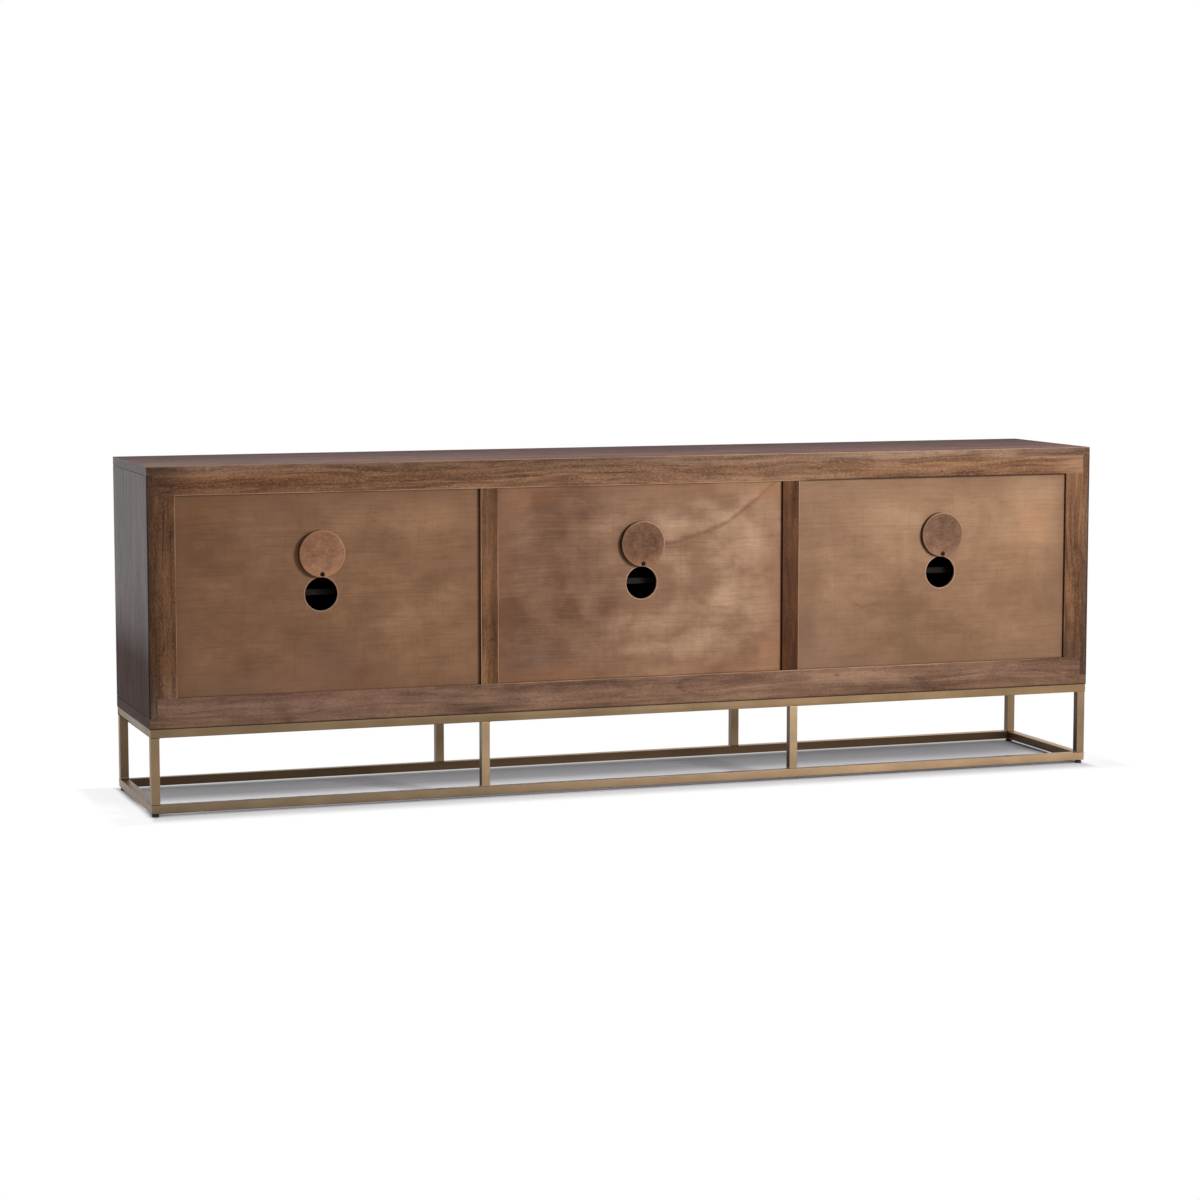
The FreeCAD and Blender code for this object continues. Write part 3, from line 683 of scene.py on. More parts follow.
def floor_material():
    """Pale surface that shows white away from the base and keeps the shadow under it; painted light that
    the camera sees shapes the shade there.
    """
    material, n = new_material("floor")
    axes = n.split(n.add("ShaderNodeTexCoord").outputs["Object"])
    x = axes[0]
    y = axes[1]
    camera, seen = n.rays()
    out = n.math("ABSOLUTE", x)
    edge_low = BASE_HALF_X - END_EDGE_INSIDE
    edge_high = BASE_HALF_X + END_EDGE_OUTSIDE
    just_past = n.span(out, edge_low, edge_high, 0.0, END_EDGE_CLEAR)
    past_end = n.math("MAXIMUM", just_past, n.span(out, BASE_HALF_X, BASE_HALF_X + END_REACH))
    past_near = n.span(y, BASE_HALF_Y, BASE_HALF_Y + NEAR_REACH)
    past_far = n.span(y, -BASE_HALF_Y, -BASE_HALF_Y - FAR_REACH)
    clear = n.math("MAXIMUM", past_end, n.math("MAXIMUM", past_near, past_far))
    painted_light = n.math("MULTIPLY", n.span(x, *PAINTED_LIGHT_ALONG), n.span(y, *PAINTED_LIGHT_ACROSS))
    painted_light = n.math("MULTIPLY", painted_light, n.span(y, *PAINTED_LIGHT_NEAR))
    painted_light = n.math("MULTIPLY", camera, painted_light)
    lit = n.add("ShaderNodeBsdfDiffuse", Color=FLOOR_COLOUR)
    more = n.add("ShaderNodeBsdfDiffuse", Color=n.vector("MULTIPLY", FLOOR_PAINTED_LIGHT, painted_light))
    both = n.add("ShaderNodeAddShader")
    n.feed(both.inputs[0], lit.outputs[0])
    n.feed(both.inputs[1], more.outputs[0])
    white = n.add("ShaderNodeEmission", Color=WHITE, Strength=1.0)
    shown = n.math("MULTIPLY", seen, clear)
    n.add("ShaderNodeOutputMaterial", Surface=n.blend(shown, both, white))
    return material


def make_floor():
    half = FLOOR_SIZE / 2
    mesh = bpy.data.meshes.new("floor")
    corners = [(-half, -half, 0.0), (half, -half, 0.0), (half, half, 0.0), (-half, half, 0.0)]
    mesh.from_pydata(corners, [], [(0, 1, 2, 3)])
    mesh.materials.append(floor_material())
    floor = bpy.data.objects.new("floor", mesh)
    bpy.context.scene.collection.objects.link(floor)


def apart(n, value, level):
    """Distance of a coordinate from a plane."""
    return n.math("ABSOLUTE", n.math("SUBTRACT", value, level))


def nearest(n, values):
    """Least of several values."""
    least = values[0]
    for value in values[1:]:
        least = n.math("MINIMUM", least, value)
    return least


def arris_distance(n, axes, edges):
    """Distance to the nearest of some edges, each given as two planes (axis, level)."""
    reaches = []
    for (axis_a, level_a), (axis_b, level_b) in edges:
        reaches.append(n.math("MAXIMUM", apart(n, axes[axis_a], level_a), apart(n, axes[axis_b], level_b)))
    return nearest(n, reaches)


def flat_radius(n, place, centre):
    """Distance in the plane of the back from a point (x, z)."""
    off = n.vector("SUBTRACT", place, (centre[0], 0.0, centre[1]))
    return n.vector("LENGTH", n.vector("MULTIPLY", off, (1.0, 0.0, 1.0)))


def oval(n, axes, x, z, width, height):
    """1 in the middle of a soft oval in the plane of the back, and 0 outside it."""
    across = n.math("DIVIDE", n.math("SUBTRACT", axes[0], x), width)
    up = n.math("DIVIDE", n.math("SUBTRACT", axes[2], z), height)
    square = n.math("MULTIPLY_ADD", across, across, n.math("MULTIPLY", up, up))
    return n.span(n.math("SQRT", square), 1.0, 0.0)


def marked(n, colour, row, noises, marks, depth=1.0):
    """Colour with each of some marks drawn on it; depth scales their shares."""
    for name, start, end, share, tone in marks:
        colour = n.mix(n.span(noises[name], start, end, 0.0, share * depth), colour, row[tone])
    return colour


def shaded(n, axes, colour, shades):
    """Colour multiplied along an axis by each of shades (axis, from, to, tint): painted light and shade, and
    some stain.
    """
    for axis, start, end, tint in shades:
        colour = n.mix(n.span(axes[axis], start, end), colour, n.mix(1.0, colour, tint, "MULTIPLY"))
    return colour


def limited(n, axes, amount, spans):
    """Amount that sets in over each of spans (from, to) along X."""
    for start, end in spans:
        amount = n.math("MULTIPLY", amount, n.span(axes[0], start, end))
    return amount


def surface(n, colour, roughness, **inputs):
    """End of a material: its shader, with other named inputs."""
    shader = n.add("ShaderNodeBsdfPrincipled", Base_Color=colour, Roughness=roughness, **inputs)
    n.add("ShaderNodeOutputMaterial", Surface=shader.outputs[0])


def wood_surface(n, colour, noises, gloss):
    """Satin stained surface with open pores."""
    fine = noises["fine"]
    height = n.math("MULTIPLY_ADD", fine, FINE_HEIGHT, n.span(noises["pores"], *PORE_HEIGHT))
    normal = n.bump(height, *WOOD_BUMP)
    surface(n, colour, n.span(fine, *WOOD_ROUGHNESS), Specular_IOR_Level=gloss, Normal=normal)


def wood_colour(n, place, axes, along, row, seed, grain_depth=1.0):
    """Colour of a cut board, and the noises of its grain. grain_depth scales the fine grain."""
    first, second, third = GRAIN_AXES[along]
    grain = n.add("ShaderNodeCombineXYZ", X=axes[first], Y=axes[second], Z=axes[third]).outputs[0]
    drift = n.noise(grain, seed, *WOOD_DRIFT, output=1)
    noises = n.noises(n.vector("MULTIPLY_ADD", drift, WOOD_BEND, grain), seed, WOOD_GRAIN)
    cloud = n.noise(place, seed, *WOOD_CLOUD)
    tone = n.math("MULTIPLY_ADD", cloud, CLOUD_DEPTH, WOOD_SHIFT)
    tone = n.math("MULTIPLY_ADD", noises["bands"], BAND_DEPTH, tone)
    tone = n.math("MULTIPLY_ADD", noises["curl"], CURL_DEPTH, tone)
    colour = n.ramp(tone, WOOD_RAMP, row)
    ring = n.math("PINGPONG", n.math("MULTIPLY", noises["rings"], RING_COUNT), 0.5)
    line = n.math("MULTIPLY", n.span(ring, *RING_WIDTH), n.span(cloud, *RING_CLOUD))
    colour = n.mix(n.math("MULTIPLY", line, RING_DEPTH), colour, row[STREAK])
    colour = marked(n, colour, row, noises, WOOD_MARKS, grain_depth)
    return marked(n, colour, row, noises, WOOD_PORES), noises


def face(axis, level, way, row, seed, shades=(), gloss=None):
    """Face that shows another cut; gloss is (from, to, gloss at from, gloss at to) up the Z axis."""
    return {
        "axis": axis, "level": level, "way": way, "row": row, "seed": seed, "shades": shades, "gloss": gloss,
    }


def knotted(n, axes, colour, row, fine, knots):
    """Colour with knots and broader places, ovals (x, z, width, height, depth): dark ones, or pale with a
    depth below 0.
    """
    for *where, depth in knots:
        most = abs(depth)
        amount = n.span(fine, *KNOT_GRAIN, most, most * KNOT_LEAST)
        uneven = n.math("MULTIPLY", oval(n, axes, *where), amount)
        colour = n.mix(uneven, colour, row[STREAK] if depth > 0.0 else row[PALE])
    return colour


def solid_wood(
    name, along, row, seed, edges=(), lines=(), recess=None, shades=(), faces=(), rails=None,
    gloss=WOOD_GLOSS, grain_depth=1.0, knots=(), rub_spans=(), line_spans=(),
):
    """Stained solid wood: bands and rings of grain, dark streaks, pores, clouds of stain, pale arrises and
    painted shade.

    edges are arrises painted pale, partly rubbed wear and partly painted highlight, and lines are arrises
    with a painted shade line, each as two planes (axis, level). Below the depth recess lies a painted shade.
    faces show other cuts. rails is (from, to) along X, between which the boards lie level. rub_spans and
    line_spans are (from, to) along X, over which the pale and the painted shade arrises set in."""
    material, n, place, axes = new_wood(name)
    colour, noises = wood_colour(n, place, axes, along, row, seed, grain_depth)
    if rails:
        level = wood_colour(n, place, axes, "X", row, seed)[0]
        above = n.math("GREATER_THAN", axes[0], rails[0])
        below = n.math("LESS_THAN", axes[0], rails[1])
        colour = n.mix(n.math("MULTIPLY", above, below), colour, level)
    colour = shaded(n, axes, colour, shades)
    colour = knotted(n, axes, colour, row, noises["fine"], knots)
    for cut in faces:
        other = wood_colour(n, place, axes, cut["way"], cut["row"], cut["seed"])[0]
        other = shaded(n, axes, other, cut["shades"])
        on_face = n.span(apart(n, axes[cut["axis"]], cut["level"]), *FACE_REACH)
        colour = n.mix(on_face, colour, other)
        if cut["gloss"]:
            other_gloss = n.span(axes[2], *cut["gloss"])
            gloss = n.math("MULTIPLY_ADD", on_face, n.math("SUBTRACT", other_gloss, gloss), gloss)
    # Painted shade on the faces that lie deeper than the recess
    if recess:
        deep = n.span(axes[1], recess, recess - RECESS_REACH, 0.0, RECESS_SHARE)
        colour = n.mix(deep, colour, RECESS_SHADE)
    # Painted shade lines along arrises
    if lines:
        arris_shade = n.span(arris_distance(n, axes, lines), *ARRIS_SHADE_REACH)
        colour = n.mix(limited(n, axes, arris_shade, line_spans), colour, ARRIS_SHADE)
    # Pale arrises: partly rubbed wear, partly painted highlight
    if edges:
        patch = n.noise(place, seed, *PALE_ARRIS_PATCH)
        rub = n.span(arris_distance(n, axes, edges), *PALE_ARRIS)
        rub = n.math("MULTIPLY", rub, n.span(patch, *PALE_ARRIS_SHARE))
        colour = n.mix(limited(n, axes, rub, rub_spans), colour, WEAR_AND_HIGHLIGHT)
    wood_surface(n, colour, noises, gloss)
    return material


def panel_wood(name, box, row, seed, hole=None, spots=(), tints=(), marking=None):
    """Stained veneer panel: soft clouds, fine level grain, a deeper border, a painted shade line at the frame
    and a pale cut edge at the hole.

    hole is (x, z, radius). Each of spots is an oval (x, z, width, height, change of tone), and each of
    tints is one that turns to another stain by a share. marking adds a figure to the tone."""
    material, n, place, axes = new_wood(name)
    drift = n.noise(place, seed, *PANEL_DRIFT, output=1)
    noises = n.noises(place, seed, PANEL_CLOUDS)
    noises.update(n.noises(n.vector("MULTIPLY_ADD", drift, PANEL_BEND, place), seed, PANEL_GRAIN))
    stray = n.noise(place, seed, *PANEL_STRAY, output=1)
    loose = n.vector("MULTIPLY_ADD", stray, STRAY_REACH, n.vector("SUBTRACT", place, STRAY_MIDDLE))
    loose_axes = n.split(loose)

    tone = n.math("MULTIPLY_ADD", noises["big"], BIG_DEPTH, PANEL_SHIFT)
    tone = n.math("MULTIPLY_ADD", noises["small"], SMALL_DEPTH, tone)
    for *where, change in spots:
        tone = n.math("MULTIPLY_ADD", oval(n, loose_axes, *where), change, tone)
    if marking:
        tone = marking(n, axes, loose_axes, tone)
    colour = n.ramp(tone, PANEL_RAMP, row)
    colour = marked(n, colour, row, noises, PANEL_MARKS)
    for *where, share, tint in tints:
        colour = n.mix(n.math("MULTIPLY", oval(n, loose_axes, *where), share), colour, tint)

    border = nearest(n, [apart(n, axes[axis], corner[axis]) for axis in (0, 2) for corner in box])
    uneven = n.math("MULTIPLY_ADD", noises["small"], BORDER_WAVER, border)
    colour = n.mix(n.span(uneven, *BORDER), colour, row[BORDER_TONE])
    # Painted shade line along the frame's edge
    colour = n.mix(n.span(border, *BORDER_LINE), colour, row[STREAK])
    if hole:
        rim = apart(n, flat_radius(n, place, hole[:2]), hole[2] + HOLE_RIM_OUT)
        colour = n.mix(n.span(rim, *HOLE_RIM), colour, HOLE_EDGE)
    wood_surface(n, colour, noises, WOOD_GLOSS)
    return material


def middle_marking(n, axes, loose_axes, tone):
    """Figure of the middle panel: a vein that rises to a corner, oval rings and a paler half."""
    across = n.math("SUBTRACT", VEIN_START, axes[0])
    slope = n.math("MULTIPLY_ADD", across, VEIN_CURVE[0], VEIN_CURVE[1])
    rise = n.math("MULTIPLY_ADD", across, slope, VEIN_CURVE[2])
    waver = n.math("MULTIPLY_ADD", tone, VEIN_WAVER, axes[2])
    height = n.math("SUBTRACT", waver, n.math("ADD", rise, VEIN_MIDDLE))
    begun = n.span(across, *VEIN_BEGUN)
    vein = n.math("MULTIPLY", n.span(n.math("ABSOLUTE", height), *VEIN_WIDTH), begun)
    glow = n.math("MULTIPLY", n.span(height, *GLOW_ABOVE), n.span(height, *GLOW_BELOW))
    round_x = n.math("MULTIPLY", n.math("SUBTRACT", loose_axes[0], RINGS_MIDDLE[0]), RINGS_STRETCH[0])
    round_z = n.math("MULTIPLY", n.math("SUBTRACT", loose_axes[2], RINGS_MIDDLE[1]), RINGS_STRETCH[1])
    square = n.math("MULTIPLY_ADD", round_x, round_x, n.math("MULTIPLY", round_z, round_z))
    rings = n.math("SINE", n.math("MULTIPLY", n.math("SQRT", square), RINGS_COUNT))
    tone = n.math("MULTIPLY_ADD", rings, RINGS_DEPTH, tone)
    tone = n.math("ADD", tone, n.span(axes[0], *PALE_HALF))
    tone = n.math("MULTIPLY_ADD", n.math("MULTIPLY", glow, begun), GLOW_DEPTH, tone)
    return n.math("MULTIPLY_ADD", vein, VEIN_DEPTH, tone)


def cover_wood(name, row, seed, centre, radius, front):
    """Stained round cover with a rim rubbed pale, a painted highlight on its upper side towards -X and
    painted shade on its side edge; front is the depth of its flat face.
    """
    material, n, place, axes = new_wood(name)
    x, z = centre
    noises = n.noises(place, seed, COVER_GRAIN)
    tone = n.math("ADD", noises["cloud"], n.span(axes[2], z - radius, z + radius, *COVER_FADE))
    colour = n.ramp(tone, COVER_RAMP, row)
    colour = marked(n, colour, row, noises, COVER_MARKS)
    reach = flat_radius(n, place, centre)
    low = n.span(axes[2], z, z - radius, *COVER_RIM_SHARE)
    rim = n.math("MULTIPLY", n.span(reach, radius - COVER_RIM, radius), low)
    colour = n.mix(rim, colour, row[RIM_TONE])
    # Painted highlight: the rim grows paler towards its upper side at -X
    turn = n.math("SUBTRACT", n.math("SUBTRACT", axes[2], z), n.math("SUBTRACT", axes[0], x))
    pale_rim = n.span(reach, radius - COVER_PALE_RIM[0], radius - COVER_PALE_RIM[1])
    colour = n.mix(n.math("MULTIPLY", pale_rim, n.span(turn, *COVER_PALE_RIM_SHARE)), colour, WEAR_AND_HIGHLIGHT)
    # Painted shade on the cover's side edge
    edge = n.span(axes[1], front - COVER_EDGE[0], front - COVER_EDGE[1], 0.0, RECESS_SHARE)
    colour = n.mix(edge, colour, RECESS_SHADE)
    wood_surface(n, colour, noises, COVER_GLOSS)
    return material


def inner_face_shade(n, place, normal):
    """Share of painted shade on the tubes' faces that look inwards or down."""
    x, y, z = n.split(n.vector("ABSOLUTE", place))
    turn_x, turn_y, turn_z = n.split(normal)
    inward = n.math("MULTIPLY", n.span(n.math("ABSOLUTE", turn_y), *FACING), n.span(y, *INNER_Y))
    inward = n.math("MULTIPLY", inward, n.span(z, *INNER_Z))
    endward = n.math("MULTIPLY", n.span(n.math("ABSOLUTE", turn_x), *FACING), n.span(x, *INNER_X))
    endward = n.math("MULTIPLY", endward, INNER_END_SHARE)
    below = n.span(turn_z, *FACING_DOWN)
    return n.math("MAXIMUM", n.math("MAXIMUM", inward, endward), below)


def brass(name, row, seed, roughness, tint=None):
    """Satin antique brass: patches of patina, fine rub marks and uneven gloss.

    With a tint (from, to, colour) along X a painted shade deepens the finish that way, and the inner faces
    and those that look down take a painted shade."""
    material, n = new_material(name)
    texture = n.add("ShaderNodeTexCoord").outputs
    place = texture["Object"]
    patina = n.noise(place, seed, *PATINA)
    marks = n.noise(place, seed, *BRASS_RUB)
    colour = n.ramp(patina, BRASS_RAMP, row)
    colour = n.mix(n.span(marks, *BRASS_RUB_SHARE), colour, row[DARK])
    # Painted shade along X and on the inner faces
    if tint:
        colour = shaded(n, n.split(place), colour, [(0, *tint)])
        colour = n.mix(inner_face_shade(n, place, texture["Normal"]), colour, row[INNER_SHADE_TONE])
    dull = n.span(patina, *BRASS_DULL, roughness - BRASS_SMOOTHER, roughness + BRASS_ROUGHER)
    surface(n, colour, dull, Metallic=1.0, Normal=n.bump(marks, *BRASS_BUMP))
    return material


def dark_metal(name, seed):
    """Blackened steel of the screws and pins."""
    material, n = new_material(name)
    place = n.add("ShaderNodeTexCoord").outputs["Object"]
    wear = n.noise(place, seed, *STEEL_WEAR)
    colour = n.ramp(wear, STEEL_RAMP, STEEL_TONES)
    surface(n, colour, n.span(wear, *STEEL_ROUGHNESS), Metallic=1.0)
    return material


def black_plastic(name, seed):
    """Moulded black nylon with a fine grain and dust in its hollows."""
    material, n = new_material(name)
    place = n.add("ShaderNodeTexCoord").outputs["Object"]
    grain = n.noise(place, seed, *NYLON_GRAIN)
    dust = n.noise(place, seed, *NYLON_DUST)
    colour = n.mix(n.span(dust, *NYLON_DUST_SHARE), *NYLON_TONES)
    surface(n, colour, n.span(grain, *NYLON_ROUGHNESS), Normal=n.bump(grain, *NYLON_BUMP))
    return material


def paint(name, material):
    mesh = nodes[name].data
    mesh.materials.clear()
    mesh.materials.append(material)


def soften(name, width):
    """Round a node's edges in its look alone."""
    weld = nodes[name].modifiers.new("weld", "WELD")
    weld.merge_threshold = EDGE_MERGE
    bevel = nodes[name].modifiers.new("bevel", "BEVEL")
    bevel.width = width
    bevel.segments = EDGE_STEPS
    bevel.limit_method = "ANGLE"
    bevel.angle_limit = math.radians(EDGE_ANGLE)
    bevel.use_clamp_overlap = False
    bevel.harden_normals = True


def board(name, edge, *look, **more):
    """Give a node its own solid wood and softened edges."""
    paint(name, solid_wood(name, *look, **more))
    soften(name, edge)


def seed_of(index, first, step):
    """Seed of one of several like pieces."""
    return tuple(start + index * more for start, more in zip(first, step))


def board_ends(row):
    """Both end faces of the top or bottom board."""
    return [face(0, x, "Y", row, END_SEEDS[side], gloss=END_GLOSS) for side, x in case_ends.items()]


def paint_top_board():
    faces = [face(1, back, "X", TOP_EDGE, RAIL_SEED, TOP_EDGE_PAINTED_LIGHT_AND_SHADE), *board_ends(END_WITH_SHEEN)]
    faces.append(face(1, case_low.y, "X", RAIL, RAIL_SEED))
    board(
        "top_board", WOOD_EDGE, "X", TOP_WITH_SHEEN, TOP_SEED, shades=TOP_PAINTED_SHEEN_AND_LIGHT, faces=faces, gloss=TOP_GLOSS,
        edges=[((2, case_high.z), (1, back))], lines=[((2, case_high.z), (1, case_low.y))],
    )


def paint_bottom_board():
    lines = [((2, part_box("bottom_board")[0].z), (1, back))]
    board(
        "bottom_board", WOOD_EDGE, "X", LOW, LOW_SEED, lines=lines, shades=LOW_EDGE_SHADES,
        faces=board_ends(END_LOW_SHADED), grain_depth=LOW_GRAIN, knots=LOW_KNOTS,
    )


def paint_sides():
    for side, x in case_ends.items():
        seed = END_SEEDS[side]
        faces = [face(1, back, "Z", SIDE_EDGES[side], STILE_SEED, SIDE_EDGE_SHADES[side])]
        faces.append(face(0, x, "Z", END_WITH_SHEEN, seed, END_PAINTED_SHADE, END_GLOSS))
        lines = [((0, x), (1, back))]
        board(side + "_side", WOOD_EDGE, "Z", CASE_INSIDE, seed, lines=lines, faces=faces)


def paint_back_rails():
    arris = [((2, rail_low), (1, back))]
    board(
        "back_top_rail", JOINT_EDGE, "X", RAIL, RAIL_SEED, edges=arris, lines=arris, recess=back_recess,
        shades=RAIL_PAINTED_LIGHT_AND_SHADE, knots=RAIL_KNOTS,
        rub_spans=[TOP_PALE_ARRIS_SPAN, (end_inner + JOINT_REACH, end_inner - JOINT_REACH)],
        line_spans=[TOP_LINE_SPAN, (-end_inner - JOINT_REACH, -end_inner + JOINT_REACH)],
    )
    arris = [((2, rail_high), (1, back))]
    board(
        "back_bottom_rail", JOINT_EDGE, "X", LOW, LOW_SEED, edges=arris, shades=LOW_PAINTED_LIGHT,
        grain_depth=LOW_GRAIN, knots=LOW_KNOTS, rub_spans=LOW_PALE_ARRIS_SPANS,
    )


def paint_back_stiles():
    arris = [((0, end_inner), (1, back))]
    board(
        "back_end_stiles", JOINT_EDGE, "Z", STILE, STILE_SEED, edges=arris, recess=back_recess,
        shades=STILE_SHADES, knots=END_KNOTS,
    )
    arrises = [((0, level), (1, back)) for level in (mid_low, mid_high, -mid_high)]
    board(
        "back_mid_stiles", JOINT_EDGE, "Z", MID_STILE, MID_SEED, edges=arrises, recess=back_recess,
        shades=MID_SHADES, grain_depth=MID_GRAIN, knots=MID_KNOTS,
    )


def paint_bay(index, bay):
    """Back panel, cable cover and shelf of a bay."""
    panel = bay + "_back_panel"
    cover = bay + "_cable_cover"
    low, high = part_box(cover)
    x = (low.x + high.x) / 2
    z = (low.z + high.z) / 2
    radius = (high.x - low.x) / 2
    seed = seed_of(index, BAY_SEED, BAY_SEED_STEP)
    marking = middle_marking if bay == "middle" else None
    hole = (x, HOLE_Z, HOLE)
    paint(panel, panel_wood(panel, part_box(panel), PANELS[bay], seed, hole, SPOTS[bay], TINTS[bay], marking))
    paint(cover, cover_wood(cover, COVERS[bay], seed, (x, z), radius, high.y))
    board(bay + "_shelf", WOOD_EDGE, "X", CASE_INSIDE, seed, shades=SHELF_PAINTED_SHADE)


def paint_partitions():
    for side in SIDES:
        board(side + "_partition", WOOD_EDGE, "Z", CASE_INSIDE, END_SEEDS[side])


def paint_door(index, door):
    seed = seed_of(index, DOOR_SEED, DOOR_SEED_STEP)
    low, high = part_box(door + "_panel")
    board(door + "_frame", WOOD_EDGE, "Z", RAIL, seed, rails=(low.x + TONGUE, high.x - TONGUE))
    row = PANELS[BAYS[index // len(SIDES)]]
    paint(door + "_panel", panel_wood(door + "_panel", (low, high), row, seed))


def paint_fittings():
    """Finish of each small fitting, by its slot."""
    finishes = {
        "brass_hardware": brass("brass_hardware", HARDWARE_TONES, HARDWARE_SEED, HARDWARE_ROUGHNESS),
        "dark_steel": dark_metal("dark_steel", STEEL_SEED),
        "black_nylon": black_plastic("black_nylon", NYLON_SEED),
    }
    for part in frame["record"]["subparts"]:
        if part["material_slot"] in finishes:
            paint(part["node"], finishes[part["material_slot"]])
    return finishes


def paint_tubes():
    """Finish of each node of the base, by its name."""
    finishes = {}
    for name, row in TUBE_TONES.items():
        finishes[name] = brass(name, row, TUBE_SEED, TUBE_ROUGHNESS, TUBE_PAINTED_SHADE[name])
        paint(name, finishes[name])
        soften(name, TUBE_EDGE)
    return finishes


class Shape:
    """Points and faces of a new piece."""

    def __init__(self):
        self.points = []
        self.faces = []

    def prism(self, outline, origin, across, up, width):
        """Bar with an outline of (across, up) points, centred on its origin along the third axis."""
        out = across.cross(up)
        first = len(self.points)
        count = len(outline)
        for shift in (-width / 2, width / 2):
            for a, b in outline:
                self.points.append(origin + across * a + up * b + out * shift)
        low = [first + index for index in range(count)]
        high = [first + count + index for index in range(count)]
        self.faces.append(low[::-1])
        self.faces.append(high)
        for index in range(count):
            after = (index + 1) % count
            self.faces.append([low[index], low[after], high[after], high[index]])

    def screw(self, profile, socket, origin, out):
        """Turned screw head along a direction, with a six-sided socket sunk in its face.

        profile is (radius, height) from the lowest ring up. socket is (half width over flats, depth)."""
        side = out.orthogonal().normalized()
        other = out.cross(side)
        turns = [2.0 * math.pi * step / SCREW_STEPS for step in range(SCREW_STEPS)]
        rings = [[(radius, height)] * SCREW_STEPS for radius, height in profile]
        flats = [socket[0] / math.cos(turn % (math.pi / 3.0) - math.pi / 6.0) for turn in turns]
        top = profile[-1][1]
        rings.append([(flat, top) for flat in flats])
        rings.append([(flat, top - socket[1]) for flat in flats])
        first = len(self.points)
        for ring in rings:
            for turn, (radius, height) in zip(turns, ring):
                way = side * math.cos(turn) + other * math.sin(turn)
                self.points.append(origin + way * radius + out * height)
        for row in range(len(rings) - 1):
            for step in range(SCREW_STEPS):
                after = (step + 1) % SCREW_STEPS
                low = first + row * SCREW_STEPS
                high = low + SCREW_STEPS
                self.faces.append([low + step, low + after, high + after, high + step])
        self.faces.append([first + step for step in range(SCREW_STEPS)][::-1])
        last = first + (len(rings) - 1) * SCREW_STEPS
        self.faces.append([last + step for step in range(SCREW_STEPS)])

    def finish(self, name, material, body):
        """Make the piece, which moves with a body and takes its finish from a slot."""
        mesh = bpy.data.meshes.new(name)
        mesh.from_pydata([tuple(point) for point in self.points], [], self.faces)
        mesh.materials.append(material)
        piece = bpy.data.objects.new(name, mesh)
        bpy.context.scene.collection.objects.link(piece)
        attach(piece, body)
        return piece


def weld_outline():
    """Hollow corner fillet, sunk a little into the two tubes that it joins."""
    turns = [math.radians(270.0 - 90.0 * step / WELD_STEPS) for step in range(WELD_STEPS + 1)]
    arc = [(WELD + WELD * math.cos(turn), WELD + WELD * math.sin(turn)) for turn in turns]
    return [(-WELD_SINK, -WELD_SINK), (WELD, -WELD_SINK), *arc, (-WELD_SINK, WELD)]


def make_welds(material):
    """Ground welds in the corners between the legs and the rails."""
    low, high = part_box("base_corner_legs")
    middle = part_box("base_middle_legs")[1].x - TUBE / 2
    end_x = high.x - TUBE / 2
    end_y = high.y - TUBE / 2
    width = TUBE - 2 * TUBE_EDGE
    shape = Shape()
    outline = weld_outline()
    for z, up in ((low.z, Vector((0, 0, 1))), (high.z, Vector((0, 0, -1)))):
        for y in (-end_y, end_y):
            for x, ways in ((-end_x, (1,)), (-middle, (-1, 1)), (middle, (-1, 1)), (end_x, (-1,))):
                for way in ways:
                    origin = Vector((x + way * TUBE / 2, y, z))
                    shape.prism(outline, origin, Vector((way, 0, 0)), up, width)
            for x in (-end_x, end_x):
                way = -1 if y > 0 else 1
                origin = Vector((x, y + way * TUBE / 2, z))
                shape.prism(outline, origin, Vector((0, way, 0)), up, width)
    shape.finish("weld_fillets", material, "case")


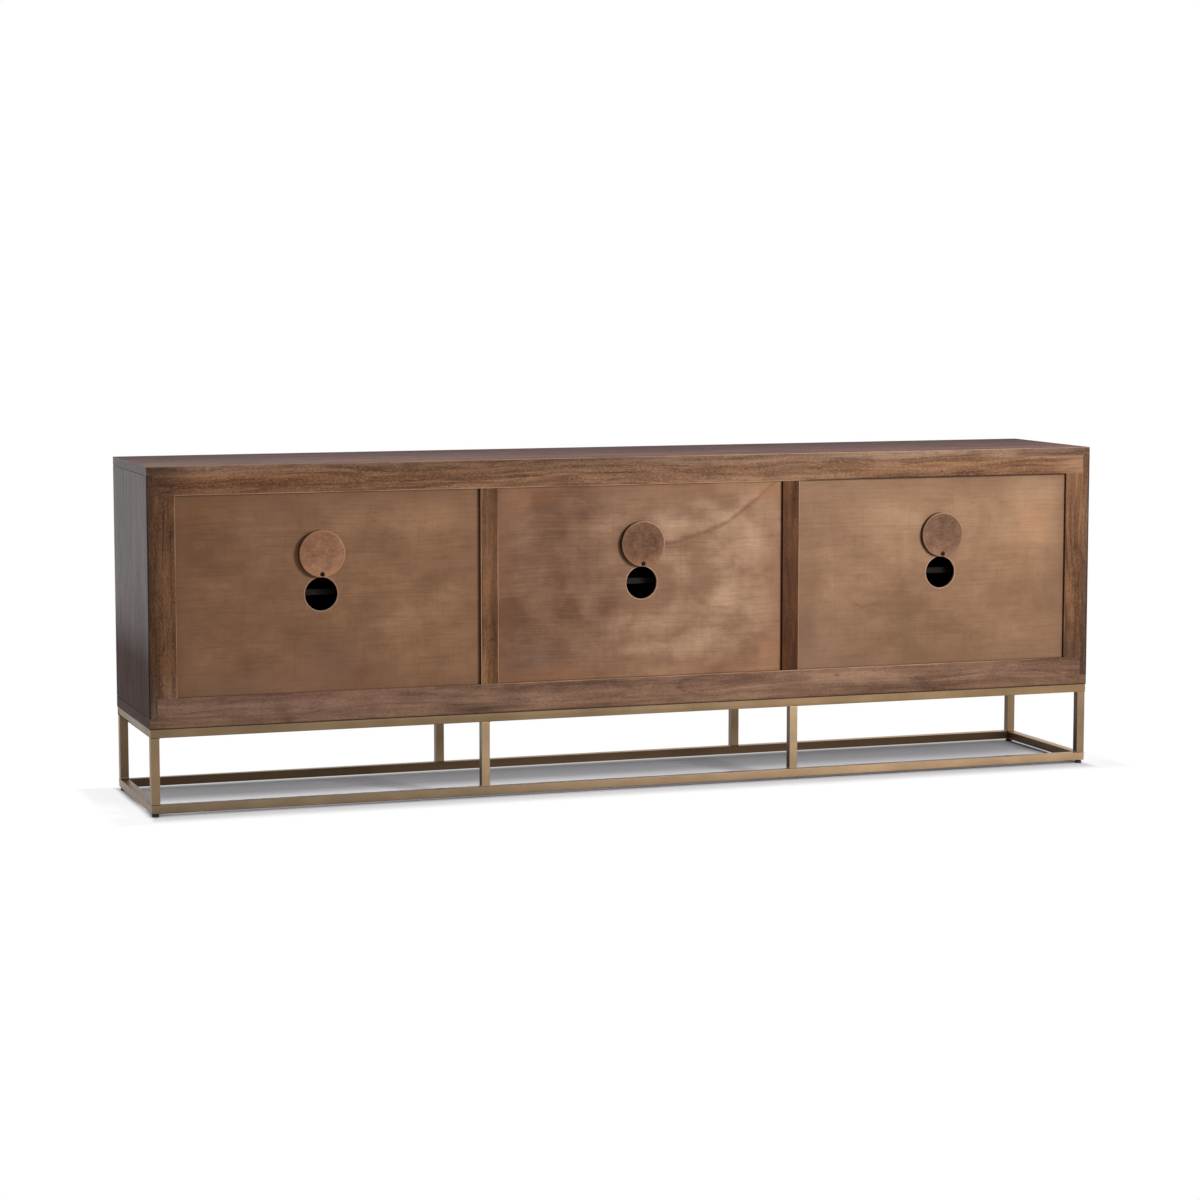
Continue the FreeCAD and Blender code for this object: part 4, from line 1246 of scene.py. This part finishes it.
def make_cover_screws(material):
    """Button-head screws that the cable covers turn on."""
    low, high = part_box("cover_screws")
    neck = high.y - low.y - COVER_SCREW_HEAD[-1][1]
    profile = [(COVER_SCREW_SHANK, 0.0), (COVER_SCREW_SHANK, neck)]
    profile += [(radius, neck + up) for radius, up in COVER_SCREW_HEAD]
    shape = Shape()
    for bay in BAYS:
        cover_low, cover_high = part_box(bay + "_cable_cover")
        origin = Vector(((cover_low.x + cover_high.x) / 2, low.y, (low.z + high.z) / 2))
        shape.screw(profile, COVER_SCREW_SOCKET, origin, Vector((0, 1, 0)))
    piece = shape.finish("cover_button_screws", material, "case")
    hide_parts("cover_screws")


def make_hinge_screws(material):
    """Countersunk screws in the hinge leaves, three to a leaf."""
    leaf_low, leaf_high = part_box("case_hinge_leaves")
    in_case = Shape()
    for door in DOORS:
        in_door = Shape()
        way = 1 if door.endswith("left_door") else -1
        out = Vector((way, 0, 0))
        low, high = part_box(door + "_frame")
        door_x = low.x if way > 0 else high.x
        case_face = door_x - way * (HINGE_GAP - LEAF)
        door_face = door_x - way * LEAF
        for foot in (leaf_low.z, leaf_high.z - HINGE_HEIGHT):
            for up, back_from in HINGE_SCREW_PLACES:
                y = low.y + back_from
                z = foot + up
                in_case.screw(HINGE_SCREW_HEAD, HINGE_SCREW_SOCKET, Vector((case_face, y, z)), out)
                in_door.screw(HINGE_SCREW_HEAD, HINGE_SCREW_SOCKET, Vector((door_face, y, z)), -out)
        in_door.finish(door + "_hinge_screws", material, door)
    in_case.finish("case_hinge_screws", material, "case")


make_camera()
make_world()
area_light("key", **KEY)
area_light("front", **FRONT)
area_light("door_fill", **DOOR_FILL, mirrored=False)
make_floor()
paint_top_board()
paint_bottom_board()
paint_sides()
paint_back_rails()
paint_back_stiles()
for number, bay in enumerate(BAYS):
    paint_bay(number, bay)
paint_partitions()
for number, door in enumerate(DOORS):
    paint_door(number, door)
fittings = paint_fittings()
tubes = paint_tubes()
make_welds(tubes["base_middle_legs"])
make_cover_screws(fittings["dark_steel"])
make_hinge_screws(fittings["brass_hardware"])

bpy.context.scene.view_settings.view_transform = "Standard"
